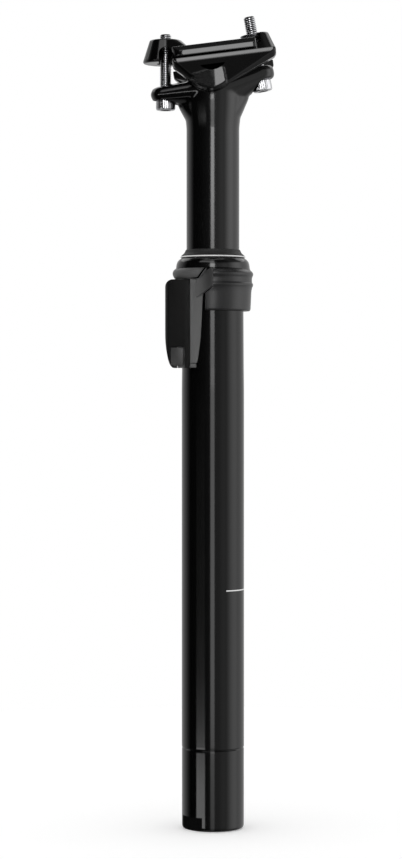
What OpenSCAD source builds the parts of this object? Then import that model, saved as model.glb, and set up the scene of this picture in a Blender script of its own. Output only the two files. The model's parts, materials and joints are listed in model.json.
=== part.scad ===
// Dropper seatpost with a battery module on its collar and a two-bolt saddle clamp.
// Z runs up the post's axis from the foot's bottom face. -X is the front of the bicycle.

/* [Lower tube] */
// Outside diameter of the lower tube, the size that the frame clamps
tube_d = 27.2; // [26.8:0.1:28.2]
// Wall of the lower tube
tube_wall = 1.3; // [1.2:0.1:1.5]
// Length of lower tube that shows between the foot cap and the collar
tube_len = 189.7; // [175:0.1:260]
// Length of the foot cap
cap_len = 35.3; // [33:0.1:45]
// Width across the foot cap's two wrench flats
flat_af = 24; // [23:0.1:25]
// Height of the wrench flats
flat_h = 5.9; // [4:0.1:8]
// Height of the wrench flats above the foot
flat_z = 1.8; // [1:0.1:3]
// Direction of the wrench flats round the post
flat_turn = 42; // [0:1:90]

/* [Stanchion] */
// Outside diameter of the sliding stanchion
post_d = 23; // [22.6:0.1:23.2]
// Travel of the post
travel = 50; // [30:1:55]
// Length of stanchion that stays out when the post is down
spare_len = 5.8; // [4:0.1:12]
// Bore of the stanchion
post_bore_d = 18.6; // [18.3:0.1:18.8]

/* [Collar] */
// Largest radius of the collar, at its grip ring
ring_r = 17.6; // [17.3:0.1:18.5]
// Radius of the collar's skirt at its lower edge
skirt_r = 16.4; // [15.8:0.1:16.8]
// Height of the collar
collar_h = 23.3; // [22.5:0.1:26]
// Height of the dust wiper above the collar
wiper_h = 3.4; // [3:0.1:4]

/* [Battery module] */
// Distance from the post's axis to the battery's front face
module_front = 20.75; // [20.3:0.05:24]
// How far the fixed housing's sides stand out beyond the tube
side_wall = 0.7; // [0.6:0.1:1.9]
// Height of the battery
battery_h = 38.2; // [34:0.1:42]

/* [Head] */
// Height of the saddle clamp's pivot above the neck
pivot_rise = 22.5; // [22:0.1:26]
// Offset of the clamp's pivot behind the post's axis
pivot_x = -1.3; // [-2:0.1:0]
// Radius of the clamp's round cradle
cradle_r = 10.8; // [10.4:0.1:11.2]
// How far the head's neck swells beyond the stanchion
neck_swell = 1.1; // [0.8:0.1:1.4]
// Radius of the round end of each arm
arm_r = 6.6; // [6.2:0.1:7]

/* [Saddle clamp] */
// Tilt of the saddle rails, rear end up
clamp_tilt = 7; // [3:0.5:9]
// Diameter of the saddle rails
rail_d = 7; // [6.8:0.1:7.4]
// Distance between the two saddle rails
rail_gauge = 44; // [43:0.5:45]
// Gap between the two clamp halves
clamp_gap = 0.8; // [0.6:0.1:1.2]
// Half width of the clamp
clamp_half = 27; // [26.6:0.1:28]
// Length of the lower clamp in front of its pivot
lower_front = 16; // [15:0.1:16.5]
// Length of the lower clamp behind its pivot
lower_rear = 28.6; // [25:0.1:30]
// Length of the upper clamp in front of its pivot
upper_front = 15.5; // [15:0.1:16.5]
// Length of the upper clamp behind its pivot
upper_rear = 20.5; // [19:0.1:22]

/* [Bolts] */
// Thread diameter of the clamp bolts
bolt_d = 5; // [5:0.1:5.2]
// Length of the clamp bolts under the head
bolt_len = 28; // [26:0.5:30]
// Diameter of the bolt heads
bolt_head_d = 8.4; // [8.2:0.1:8.6]
// Height of the bolt heads
bolt_head_h = 5; // [4.5:0.1:5]
// Diameter of the ball nuts on top of the bosses
nut_d = 11; // [10.8:0.1:11.4]
// Radius of the ball seats under the arms
ball_r = 8; // [7.6:0.1:8.4]

/* [Inside] */
// Outside diameter of the gas cartridge's cylinder
cartridge_d = 18; // [17.4:0.1:18]
// Wall of the cartridge's cylinder
cartridge_wall = 1; // [0.8:0.1:1.2]
// Diameter of the cartridge's rod
rod_d = 8; // [7:0.1:8.5]
// Diameter of the valve motor
motor_d = 12; // [11:0.1:12]
// Length of the upper bushing
upper_bush_len = 24; // [20:0.5:26]
// Length of the lower bushing
lower_bush_len = 14; // [10:0.5:16]

/* [Hidden] */
$fn = 64;
hull_fn = 32;
eps = 0.01;

// Clearances
run_fit = 0.05;
loose_fit = 0.3;
bolt_play = 0.2;

// Radii round the post's axis
tube_r = tube_d / 2;
bore_r = tube_r - tube_wall;
cap_r = tube_r - run_fit;
relief_r = tube_r - 0.25;
post_r = post_d / 2;
post_bore_r = post_bore_d / 2;

// Heights along the post's axis
tube_z = cap_len;
skirt_z = tube_z + tube_len;
tube_top = skirt_z + 13;
collar_top = skirt_z + collar_h;
lip_z = collar_top + wiper_h;
neck_z = lip_z + spare_len + travel;
pivot_z = neck_z + pivot_rise;
pivot = [pivot_x, 0, pivot_z];

// Bushes, keys and stops, from the collar down
upper_bush_z = tube_top - upper_bush_len;
bumper_h = 3.7;
bumper_z = upper_bush_z - loose_fit - bumper_h;
key_len = 12;
key_w = 3;
key_in_r = post_r - 0.6;
key_out_r = bore_r + 0.5;
key_gap = 0.1;
key_z = bumper_z - loose_fit - key_len;
lower_bush_z = key_z - 3.7 - lower_bush_len;
post_z = lower_bush_z - 2;
ribbon_slot = 5;

// Gas cartridge
cylinder_r = cartridge_d / 2;
cylinder_in_r = cylinder_r - cartridge_wall;
cylinder_len = travel + 40;
cylinder_top = post_z + cylinder_len;
seal_head_h = 10;
seal_flange_h = 4;
rod_r = rod_d / 2;
rod_bore_r = 2;
piston_h = 8;
piston_z = post_z + seal_head_h + 2;
spigot_h = 14.7;
spigot_z = cap_len + spigot_h;
rod_flange_h = 4;

// Valve drive in the foot
motor_r = motor_d / 2;
cavity_r = motor_r + loose_fit;
cap_floor = 8;
motor_h = 26;
motor_boss_h = 0.5;
plunger_r = 2;
plunger_in = 8;
plunger_out = 9;
valve_rod_r = 1.5;
nut_block_z = cap_floor + motor_h + 6;
nut_block_h = 6;
ribbon_w = 3;
ribbon_t = 0.2;
ribbon_x = -(post_r + loose_fit + ribbon_t);
ribbon_exit_z = upper_bush_z + 0.2;

// Battery module
battery_top = skirt_z + 13.5;
battery_z = battery_top - battery_h;
relief_z = battery_z - 0.8;
housing_back = -3.5;
housing_half = tube_r + side_wall;
housing_bore_r = relief_r + 0.15;
seam_x = -10.6;
shelf_x = -(tube_r + 1.7);
battery_half = housing_half - 1.9;
shelf_half = battery_half - 2.7;
cover_h = 1.9;
cover_back = -7.2;
board_half = 6;
latch_h = 7.7;
latch_half = battery_half - 0.8;
latch_x0 = -(module_front - 2.45);
latch_x1 = seam_x - 2;
button_r = 2.4;
button_x = -7.2;
button_z = skirt_z + 3;
button_out = 0.5;
button_t = 1.6;
lens_r = 1.2;
lens_t = 1.05;
lens_z = button_z - 7;
lens_in = 1;
board_t = 0.5;
board_x = shelf_x + 0.7;
pin_r = 0.7;
pin_z = battery_z + 8;
pins_y = [-4, 0, 4];
pad_t = 0.2;
pad_x = shelf_x - 0.5;
latch_leg = 1.6;
// The fairing over the battery, and the flares that carry the housing's sides up into the collar
fairing_top = skirt_z + 18.4;
crease_z = fairing_top - 1.4;
crease_x = -3.2;
flare_low = fairing_top - 8.4;
flare_front = -6.5;
wall_top = battery_top + 0.2;
wall_t = housing_half - housing_bore_r;
notch_x = -9.9;
notch_w = 3;
notch_h = 1.5;
seat_gap = 0.2;

// Clamp geometry in the clamp's own frame: x along the rails, z square to them
rail_r = rail_d / 2;
rail_y = rail_gauge / 2;
split_w = 3.5;
rail_w = split_w + clamp_gap / 2;
upper_w = split_w + clamp_gap;
wing_in = rail_y - rail_r - 1.5;
lug_out = clamp_half - 2.5;
lug_foot = 8.9;
lug_top = 5.4;
corner_r = 4;
front_nut_uw = [-17.43, 16.45];
rear_nut_uw = [20.12, 14.26];

// Ball seat centres under the arms, from the pivot
front_seat = [pivot_x - 19.3, pivot_z - 18.7];
rear_seat = [pivot_x + 23.39, pivot_z - 10.4];

// Nut centres in the post's frame, and the lean of each bolt
function clamp_to_post(uw) = [
    pivot_x + uw[0] * cos(clamp_tilt) - uw[1] * sin(clamp_tilt),
    pivot_z + uw[0] * sin(clamp_tilt) + uw[1] * cos(clamp_tilt)];
function lean(seat, nut) = atan2(nut[0] - seat[0], nut[1] - seat[1]);
front_nut_xz = clamp_to_post(front_nut_uw);
rear_nut_xz = clamp_to_post(rear_nut_uw);
front_lean = lean(front_seat, front_nut_xz);
rear_lean = lean(rear_seat, rear_nut_xz);
function reach(seat, nut) = norm([nut[0] - seat[0], nut[1] - seat[1]]);
front_reach = reach(front_seat, front_nut_xz);
rear_reach = reach(rear_seat, rear_nut_xz);

// Bolt stack above a ball seat's centre
washer_t = 1.8;
head_top = ball_r - washer_t;
washer_r = 4.4;
seat_r = 5.6;
seat_edge = sqrt(pow(ball_r + run_fit, 2) - seat_r * seat_r);
bolt_r = bolt_d / 2;
arm_t = 5;
arm_hole_r = bolt_r + 0.9;
boss_hole_r = bolt_r + 1.3;
nut_r = nut_d / 2;
nut_top = -1.2;
nut_t = 3.6;
boss_r = nut_r + 1.4;
front_boss_h = 10.3;
rear_boss_h = 8.6;
boss_low = nut_top - nut_t - 0.1;
notch_half = 2.9;
web_x = 9;
web_half = 6;
web_t = 4.5;

// Head
root_r = post_r + neck_swell - 0.3;
neck_r = post_r + neck_swell;
shoulder_z = neck_z + 17.8;
arm_root_r = 8;
cradle_half = neck_r + 1;

// Helpers
module ring(r_out, r_in, h) {
    difference() {
        cylinder(r = r_out, h = h);
        translate([0, 0, -1]) cylinder(r = r_in, h = h + 2);
    }
}
// A ring split at the front for the ribbon
module split_ring(r_out, r_in, h, z) {
    translate([0, 0, z]) difference() {
        ring(r_out, r_in, h);
        translate([-r_out - 5, -ribbon_slot / 2, -1]) cube([r_out, ribbon_slot, h + 2]);
    }
}
module round_box(x0, x1, half, z0, z1, r) {
    translate([x0, 0, z0]) linear_extrude(z1 - z0) union() {
        translate([r, -half]) square([x1 - x0 - r, 2 * half]);
        translate([0, r - half]) square([x1 - x0, 2 * (half - r)]);
        for (s = [-1, 1]) translate([r, s * (half - r)]) circle(r = r);
    }
}
// A side view outline in x and z, made solid across the post
module side_plate(points, half) {
    rotate([90, 0, 0]) translate([0, 0, -half]) linear_extrude(2 * half) polygon(points);
}
module cross_cylinder(r, len) {
    rotate([90, 0, 0]) cylinder(r = r, h = len, center = true);
}
module in_clamp() {
    translate(pivot) rotate([0, -clamp_tilt, 0]) children();
}
// Frames along each bolt, from its ball seat's centre
module on_front_bolt() {
    translate([front_seat[0], 0, front_seat[1]]) rotate([0, front_lean, 0]) children();
}
module on_rear_bolt() {
    translate([rear_seat[0], 0, rear_seat[1]]) rotate([0, rear_lean, 0]) children();
}

// Lower tube group
module lower_tube() {
    color("#1b1b1d") difference() {
        union() {
            translate([0, 0, tube_z]) cylinder(r = tube_r, h = relief_z - tube_z);
            translate([0, 0, tube_z]) cylinder(r = relief_r, h = tube_top - tube_z);
        }
        translate([0, 0, tube_z - 1]) cylinder(r = bore_r, h = tube_top - tube_z + 2);
        for (a = [0, 120, 240]) rotate(a)
            translate([bore_r - 1, -key_w / 2 - run_fit, key_z - travel - 3])
                cube([key_out_r + key_gap - bore_r + 1, key_w + 2 * run_fit, tube_top]);
        translate([-tube_r - 1, -1.8, ribbon_exit_z - 1.4]) cube([4, 3.6, 3]);
    }
}
module foot_cap() {
    color("#1b1b1d") difference() {
        union() {
            rotate_extrude() polygon([
                [0, 0], [cap_r - 1.2, 0], [cap_r - 0.4, 0.4], [cap_r, 1.2], [cap_r, cap_len], [0, cap_len]]);
            translate([0, 0, cap_len - 1]) cylinder(r = bore_r - run_fit, h = spigot_h + 1);
        }
        translate([0, 0, cap_floor]) cylinder(r = cavity_r, h = spigot_z);
        for (a = [0, 180]) rotate(flat_turn + a)
            translate([flat_af / 2, -15, flat_z]) cube([5, 30, flat_h]);
        translate([0, 0, cap_len + 2]) ring(bore_r + 1, bore_r - 1.4, 1.5);
        translate([-bore_r - 1, -1.8, spigot_z - 10]) cube([bore_r, 3.6, 12]);
    }
}
module foot_seal() {
    color("#111111") translate([0, 0, cap_len + 2.75]) rotate_extrude()
        translate([bore_r - 0.72, 0]) circle(r = 0.65);
}
module collar_profile() {
    polygon([
        [tube_r - 4, 0], [skirt_r - 0.5, 0], [skirt_r, 0.7], [skirt_r + 0.15, 3.5], [skirt_r + 0.4, 9],
        [ring_r - 0.5, 10.2], [ring_r - 0.1, 11.2], [ring_r - 0.1, 11.6], [ring_r - 0.55, 12.3],
        [ring_r - 0.6, 14.6], [ring_r, 15.6], [ring_r, 16.4], [ring_r - 0.5, 17.1],
        [ring_r - 1.1, 17.5], [ring_r - 1.5, 18.4], [ring_r - 1.6, 20], [ring_r - 2, 21.4],
        [ring_r - 2.8, 22.3], [ring_r - 3.7, 22.8], [ring_r - 3.8, collar_h], [tube_r - 4, collar_h]]);
}
module collar() {
    color("#1d1d1f") difference() {
        translate([0, 0, skirt_z]) rotate_extrude() collar_profile();
        translate([0, 0, skirt_z - 1]) cylinder(r = relief_r + run_fit, h = tube_top - skirt_z + 1);
        cylinder(r = post_r + loose_fit, h = lip_z);
        translate([0, 0, collar_top - 4]) cylinder(r = tube_r - 0.4, h = 5);
        difference() {
            side_plate([
                [-30, skirt_z - 1], [housing_back + seat_gap, skirt_z - 1],
                [housing_back + seat_gap, flare_low - 2.7], [seat_gap, flare_low - 0.3],
                [seat_gap, fairing_top + seat_gap], [-30, fairing_top + seat_gap]], 30);
            translate([0, 0, tube_top + 0.5]) cylinder(r = tube_r + 0.4, h = 20);
        }
    }
}
module upper_bushing() {
    color("#8a7a4a") split_ring(bore_r - run_fit, post_r + run_fit, upper_bush_len, upper_bush_z);
}
module top_out_bumper() {
    color("#202020") split_ring(bore_r - run_fit, post_r + loose_fit - 0.1, bumper_h, bumper_z);
}
module wiper_ring() {
    color("#c8c8c8") translate([0, 0, collar_top]) ring(tube_r + 0.55, tube_r - 0.4, 0.6);
}
module dust_wiper() {
    color("#161616") translate([0, 0, collar_top]) rotate_extrude() polygon([
        [post_r + 0.4, -3.9], [tube_r - 0.45, -3.9], [tube_r - 0.45, 0.65], [tube_r + 0.3, 0.75],
        [tube_r - 0.6, 1.5], [post_r + 0.6, wiper_h - 0.8], [post_r + 0.25, wiper_h],
        [post_r + run_fit, wiper_h], [post_r + run_fit, wiper_h - 0.8], [post_r + 0.4, wiper_h - 1.4]]);
}

// Module group, fixed half
module housing_walls() {
    intersection() {
        union() {
            round_box(shelf_x, housing_back, shelf_half, battery_z, wall_top, 1);
            translate([seam_x, -housing_half, battery_z])
                cube([housing_back - seam_x, 2 * housing_half, wall_top - battery_z]);
        }
        side_plate([
            [shelf_x, battery_z + cover_h + 0.2], [cover_back + 0.2, battery_z + cover_h + 0.2],
            [-6.4, battery_z + 5], [-5.8, battery_z + 9], [-5.2, battery_z + 14],
            [-4.4, battery_z + 34], [housing_back, battery_z + 37], [housing_back, wall_top],
            [shelf_x, wall_top]], 20);
    }
}
// A smooth front sector of the collar's ring, over the battery
module fairing() {
    intersection() {
        rotate_extrude() polygon([
            [tube_r, wall_top - 0.2], [ring_r - 1.7, wall_top - 0.2], [ring_r - 0.7, battery_top + 0.9],
            [ring_r - 0.1, battery_top + 2.1], [ring_r, battery_top + 3], [ring_r - 0.4, battery_top + 4.1],
            [ring_r - 1.2, fairing_top], [tube_r, fairing_top]]);
        side_plate([
            [-30, wall_top - 0.2], [flare_front + 0.1, wall_top - 0.2], [crease_x + 0.1, crease_z + 0.2],
            [crease_x + 0.6, fairing_top], [-30, fairing_top]], 30);
    }
}
// One side's ramp from the housing's wall out to the collar's ring
module flare() {
    hull() {
        translate([flare_front - 1.5, housing_half - wall_t, battery_top - 8]) cube([1.5, wall_t, 8]);
        translate([crease_x - 0.5, housing_half - 0.3, crease_z - 1]) cube([0.5, 1.6, 1]);
        translate([-0.5, housing_half - 0.3, flare_low]) cube([0.5, ring_r - housing_half - 0.1, 8.2]);
    }
}
module module_housing() {
    color("#2a2a2c") difference() {
        union() {
            housing_walls();
            fairing();
            for (s = [0, 1]) mirror([0, s, 0]) flare();
        }
        for (s = [0, 1]) mirror([0, s, 0]) translate([notch_x, housing_half - 0.6, battery_top - notch_h - 0.1])
            cube([notch_w, 3, notch_h]);
        translate([0, 0, battery_z - 1]) cylinder(r = housing_bore_r, h = tube_top - battery_z + 1);
        translate([0, 0, tube_top - 1]) cylinder(r = tube_r + 0.55, h = 20);
        translate([shelf_x + 0.6, -board_half - 1, battery_z + 4])
            cube([6, 2 * board_half + 2, battery_h - 5]);
        for (y = pins_y) translate([shelf_x - 1, y, pin_z]) rotate([0, 90, 0])
            cylinder(r = pin_r + run_fit, h = 3);
        translate([button_x, housing_half - 4.5, button_z]) rotate([-90, 0, 0])
            cylinder(r = button_r + 0.1, h = 7);
        translate([button_x, housing_half - lens_in, lens_z]) rotate([-90, 0, 0])
            cylinder(r = lens_r + run_fit, h = 5);
    }
}
module housing_cover() {
    color("#2a2a2c") difference() {
        union() {
            round_box(shelf_x, cover_back, shelf_half, battery_z, battery_z + cover_h, 1);
            translate([seam_x, 0.3 - housing_half, battery_z])
                cube([cover_back - seam_x, 2 * housing_half - 0.6, cover_h]);
        }
        cylinder(r = housing_bore_r, h = battery_z + 10);
    }
}
module circuit_board() {
    color("#1f5a33") translate([board_x, -board_half, battery_z + 5])
        cube([board_t, 2 * board_half, battery_h - 7]);
}
module contact_pins() {
    color("#c9a646") for (y = pins_y) translate([shelf_x - 0.25, y, pin_z])
        rotate([0, 90, 0]) cylinder(r = pin_r, h = board_x + 0.25 - shelf_x);
}
module pairing_button() {
    color("#333333") translate([button_x, housing_half + button_out - button_t, button_z])
        rotate([-90, 0, 0]) cylinder(r = button_r, h = button_t);
}
module status_lens() {
    color("#7fd0ff") translate([button_x, housing_half - lens_in, lens_z]) rotate([-90, 0, 0])
        cylinder(r = lens_r, h = lens_t);
}

// Valve drive and gas cartridge
module valve_motor() {
    color("#9a9a9a") translate([0, 0, cap_floor]) difference() {
        union() {
            cylinder(r = motor_r, h = motor_h);
            cylinder(r = plunger_r + 1.5, h = motor_h + motor_boss_h);
        }
        translate([0, 0, motor_h - plunger_in - 1]) cylinder(r = plunger_r + run_fit, h = plunger_in + 3);
    }
}
module drive_plunger() {
    color("#b8b8b8") translate([0, 0, cap_floor + motor_h]) {
        translate([0, 0, motor_boss_h + 0.2]) cylinder(r = plunger_r + 1.5, h = 2);
        translate([0, 0, -plunger_in]) cylinder(r = plunger_r, h = plunger_in + plunger_out);
    }
}
module valve_rod() {
    color("#b5893c") difference() {
        union() {
            translate([0, 0, nut_block_z]) cylinder(r = cavity_r - 1, h = nut_block_h);
            translate([0, 0, nut_block_z]) cylinder(r = valve_rod_r, h = piston_z + 4 - nut_block_z);
        }
        translate([0, 0, nut_block_z - 1]) cylinder(r = plunger_r + run_fit / 2, h = nut_block_h - 0.3);
    }
}
module cartridge_rod() {
    color("#c0c0c0") difference() {
        union() {
            translate([0, 0, spigot_z]) cylinder(r = bore_r - 4, h = rod_flange_h);
            translate([0, 0, spigot_z]) cylinder(r = rod_r, h = piston_z + piston_h - spigot_z);
        }
        translate([0, 0, spigot_z - 1]) cylinder(r = rod_bore_r, h = piston_z + piston_h);
    }
}
module cartridge_piston() {
    color("#caa24a") translate([0, 0, piston_z]) ring(cylinder_in_r - run_fit, rod_r + run_fit / 2, piston_h);
}
module power_ribbon() {
    color("#8a5a1a") {
        translate([ribbon_x, -ribbon_w / 2, spigot_z - 9])
            cube([ribbon_t, ribbon_w, ribbon_exit_z + ribbon_t - spigot_z + 9]);
        translate([board_x + board_t + 0.05, -ribbon_w / 2, ribbon_exit_z])
            cube([ribbon_x - board_x - board_t - 0.05 + eps, ribbon_w, ribbon_t]);
        translate([ribbon_x, -ribbon_w / 2, spigot_z - 9])
            cube([-ribbon_x - motor_r - 0.6, ribbon_w, ribbon_t]);
    }
}

// Battery group
module battery_plan() {
    x0 = -module_front;
    polygon([
        [x0, -6.6], [x0 + 0.25, -8.2], [x0 + 1.1, -9.5], [x0 + 2.4, -10.1],
        [seam_x - 2, -battery_half + 0.75], [seam_x - 0.15, -battery_half],
        [seam_x - 0.15, battery_half], [seam_x - 2, battery_half - 0.75],
        [x0 + 2.4, 10.1], [x0 + 1.1, 9.5], [x0 + 0.25, 8.2], [x0, 6.6]]);
}
module battery_case() {
    x0 = -module_front;
    color("#232325") difference() {
        intersection() {
            translate([0, 0, battery_z]) linear_extrude(battery_h) battery_plan();
            side_plate(concat([
                [seam_x, battery_z], [x0 + 3.6, battery_z], [x0 + 2.7, battery_z + 0.5],
                [x0 + 1.95, battery_z + 1.7], [x0 + 1.35, battery_z + 3.4], [x0 + 0.55, battery_z + 8],
                [x0 + 0.1, battery_z + 12], [x0, battery_z + 14]],
                [for (a = [180:-15:90]) [x0 + 3.3 + 3.3 * cos(a), battery_top - 3.3 + 3.3 * sin(a)]],
                [[seam_x, battery_top]]), 20);
        }
        translate([shelf_x - 0.3, -shelf_half - 0.3, battery_z - 1])
            cube([20, 2 * shelf_half + 0.6, battery_h + 2]);
        for (s = [0, 1]) mirror([0, s, 0]) translate([latch_x0 - 0.3, latch_half - latch_leg - 0.3, 0])
            cube([latch_x1 - latch_x0 + 0.6, 5, battery_z + latch_h + 1.5]);
        battery_pads(0.03);
        translate([latch_x0 + 1, -latch_half, 0]) cube([1.9, 2 * latch_half, battery_z + 2.9]);
    }
}
module battery_pads(grow) {
    for (y = pins_y) translate([pad_x, y - 1 - grow, pin_z - 1.5 - grow])
        cube([pad_t, 2 + 2 * grow, 3 + 2 * grow]);
}
module battery_contacts() {
    color("#c9a646") battery_pads(0);
}
module battery_latch() {
    color("#3a3a3c") {
        for (s = [0, 1]) mirror([0, s, 0]) translate([latch_x0, latch_half - latch_leg, battery_z + 1])
            cube([latch_x1 - latch_x0, latch_leg, latch_h]);
        translate([latch_x0 + 1.2, -latch_half + 0.5, battery_z + 0.5]) cube([1.5, 2 * latch_half - 1, 2]);
    }
}

// Upper post group
module neck() {
    rotate_extrude() polygon([
        [0, neck_z - 4], [post_r, neck_z - 4], [post_r + 0.1, neck_z - 2], [post_r + 0.4, neck_z + 0.5],
        [neck_r - 0.2, neck_z + 3.4], [neck_r, neck_z + 6], [neck_r, shoulder_z - 1],
        [neck_r - 1, shoulder_z], [0, shoulder_z]]);
}
// The wide root that both arms share, so that they run smoothly out of the neck
module arm_root() {
    translate([0, 0, neck_z + 9.5]) cylinder(r = root_r, h = shoulder_z - neck_z - 9.7, $fn = hull_fn);
}
module front_arm() {
    hull() {
        on_front_bolt() {
            translate([0, 0, seat_edge - 0.6]) cylinder(r = arm_r, h = arm_t, $fn = hull_fn);
            translate([0, 0, seat_edge - 1.8]) cylinder(r = arm_r - 1.6, h = arm_t + 2.9, $fn = hull_fn);
        }
        translate([-arm_root_r + 1.5, 0, neck_z + 7.2])
            cylinder(r = arm_root_r, h = shoulder_z - neck_z - 7.4, $fn = hull_fn);
        arm_root();
    }
}
module rear_arm() {
    hull() {
        on_rear_bolt() {
            translate([0, 0, seat_edge + 0.8]) cylinder(r = arm_r - 0.3, h = arm_t - 0.4, $fn = hull_fn);
            translate([0, 0, seat_edge + 0.1]) cylinder(r = arm_r - 1.3, h = arm_t + 1.2, $fn = hull_fn);
        }
        translate([arm_root_r - 2.8, 0, neck_z + 8.2])
            cylinder(r = arm_root_r, h = shoulder_z - neck_z - 8.4, $fn = hull_fn);
        arm_root();
    }
}
// The cut that seats a ball washer under an arm and lets its bolt swing
module bolt_seat() {
    translate([0, 0, -6]) cylinder(r = seat_r, h = 6 + seat_edge);
    intersection() {
        sphere(r = ball_r + run_fit);
        cylinder(r = seat_r, h = ball_r + 1);
    }
    cylinder(r = arm_hole_r, h = bolt_len);
}
module upper_post() {
    color("#1d1d1f") difference() {
        union() {
            translate([0, 0, post_z]) cylinder(r = post_r, h = neck_z - post_z);
            neck();
            front_arm();
            rear_arm();
        }
        translate([0, 0, post_z - 1]) cylinder(r = post_bore_r, h = cylinder_len + 1);
        translate([0, 0, post_z]) cylinder(r = 5, h = cylinder_len + 14);
        for (a = [0, 120, 240]) rotate(a)
            translate([key_in_r, -key_w / 2, key_z]) cube([5, key_w, key_len]);
        translate([0, 0, lower_bush_z]) ring(post_r + 1, post_r - 0.3, lower_bush_len);
        translate(pivot) cross_cylinder(cradle_r + run_fit, 2 * clamp_half);
        on_front_bolt() bolt_seat();
        on_rear_bolt() bolt_seat();
    }
}
module guide_keys() {
    color("#b08d3e") for (a = [0, 120, 240]) rotate(a)
        translate([key_in_r, -key_w / 2, key_z]) cube([key_out_r - key_in_r, key_w, key_len]);
}
module lower_bushing() {
    color("#8a7a4a") split_ring(bore_r - run_fit, post_r - 0.3 + run_fit / 2, lower_bush_len, lower_bush_z);
}
module gas_cylinder() {
    color("#8d8d90") difference() {
        translate([0, 0, post_z]) cylinder(r = cylinder_r, h = cylinder_len);
        translate([0, 0, post_z - 1]) cylinder(r = cylinder_in_r, h = cylinder_len - 5);
        translate([0, 0, post_z]) cylinder(r = 3 + run_fit, h = cylinder_len + 1);
    }
}
module cylinder_seal_head() {
    color("#7a7a7d") translate([0, 0, post_z]) difference() {
        union() {
            translate([0, 0, -seal_flange_h]) cylinder(r = post_r - 0.5, h = seal_flange_h);
            translate([0, 0, -1]) cylinder(r = cylinder_in_r - run_fit, h = seal_head_h + 1);
        }
        translate([0, 0, -seal_flange_h - 1]) cylinder(r = rod_r + run_fit, h = 20);
    }
}
module fill_valve() {
    color("#b5893c") translate([0, 0, cylinder_top]) {
        translate([0, 0, -9]) cylinder(r = 3, h = 9);
        cylinder(r = 4, h = 4, $fn = 6);
    }
}

// Saddle clamp group
module lower_wing() {
    bar = [[-lower_front, split_w], [-lower_front, split_w - 0.7], [0.6 - lower_front, 1.2],
        [lower_rear - 3, -0.8], [lower_rear, 0.5], [lower_rear - 0.3, split_w]];
    hull() {
        translate([0, clamp_half - 1, 0]) side_plate(bar, 1);
        translate([0, wing_in + 1, 0]) side_plate(bar, 1);
        translate([0, 16, 0]) cross_cylinder(cradle_r - 0.3, 4, $fn = hull_fn);
    }
}
// The keystone lug that closes the cradle under a rail
module cradle_lug() {
    intersection() {
        translate([0, (lug_out + wing_in) / 2, 0]) cross_cylinder(cradle_r - 0.3, lug_out - wing_in + 2);
        side_plate([[-lug_foot, -cradle_r], [lug_foot, -cradle_r], [lug_top, 1.5], [-lug_top, 1.5]], 30);
    }
}
module lower_clamp() {
    color("#202022") in_clamp() difference() {
        union() {
            cross_cylinder(cradle_r, 2 * cradle_half);
            cross_cylinder(cradle_r - 0.3, 2 * wing_in + 2);
            for (s = [0, 1]) mirror([0, s, 0]) {
                lower_wing();
                cradle_lug();
            }
        }
        translate([-40, -wing_in + 0.5, 1.5]) cube([80, 2 * wing_in - 1, 20]);
        translate([-40, -40, split_w]) cube([80, 80, 20]);
        for (s = [-1, 1]) translate([0, s * rail_y, rail_w]) rotate([0, 90, 0])
            cylinder(r = rail_r, h = 90, center = true);
    }
}
// The upper half's plan, with rounded corners
module upper_plan() {
    polygon([for (q = [[1, 1, 0], [-1, 1, 90], [-1, -1, 180], [1, -1, 270]]) for (a = [0:22.5:90])
        [(q[0] > 0 ? upper_rear : -upper_front) - q[0] * corner_r + corner_r * cos(q[2] + a),
            q[1] * (clamp_half - corner_r) + corner_r * sin(q[2] + a)]]);
}
module upper_wings() {
    intersection() {
        rotate([90, 0, 90]) translate([0, 0, -upper_front]) linear_extrude(upper_front + upper_rear)
            for (s = [-1, 1]) scale([s, 1]) polygon([
                [wing_in - 0.5, upper_w], [clamp_half, upper_w], [clamp_half, upper_w + 2.6],
                [clamp_half - 3.5, upper_w + 4.7], [wing_in + 1, upper_w + 4.7],
                [wing_in - 1.5, upper_w + 3.4], [wing_in - 1.5, upper_w + 1]]);
        linear_extrude(4 * upper_w) upper_plan();
    }
}
module boss(uw, bolt_lean, height, spread, web_at) {
    hull() {
        translate([uw[0], 0, uw[1]]) rotate([0, bolt_lean + clamp_tilt, 0]) translate([0, 0, nut_top - height])
            cylinder(r1 = boss_r + spread, r2 = boss_r, h = height, $fn = hull_fn);
        translate([web_at, -web_half, upper_w + 0.3]) cube([2, 2 * web_half, web_t]);
    }
}
// Ball seat, bolt hole and open top for a nut
module nut_cut(uw, bolt_lean) {
    translate([uw[0], 0, uw[1]]) rotate([0, bolt_lean + clamp_tilt, 0]) {
        sphere(r = nut_r + run_fit);
        cylinder(r = nut_r + run_fit, h = nut_d);
        translate([0, 0, -bolt_len]) cylinder(r = boss_hole_r, h = bolt_len);
    }
}
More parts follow.
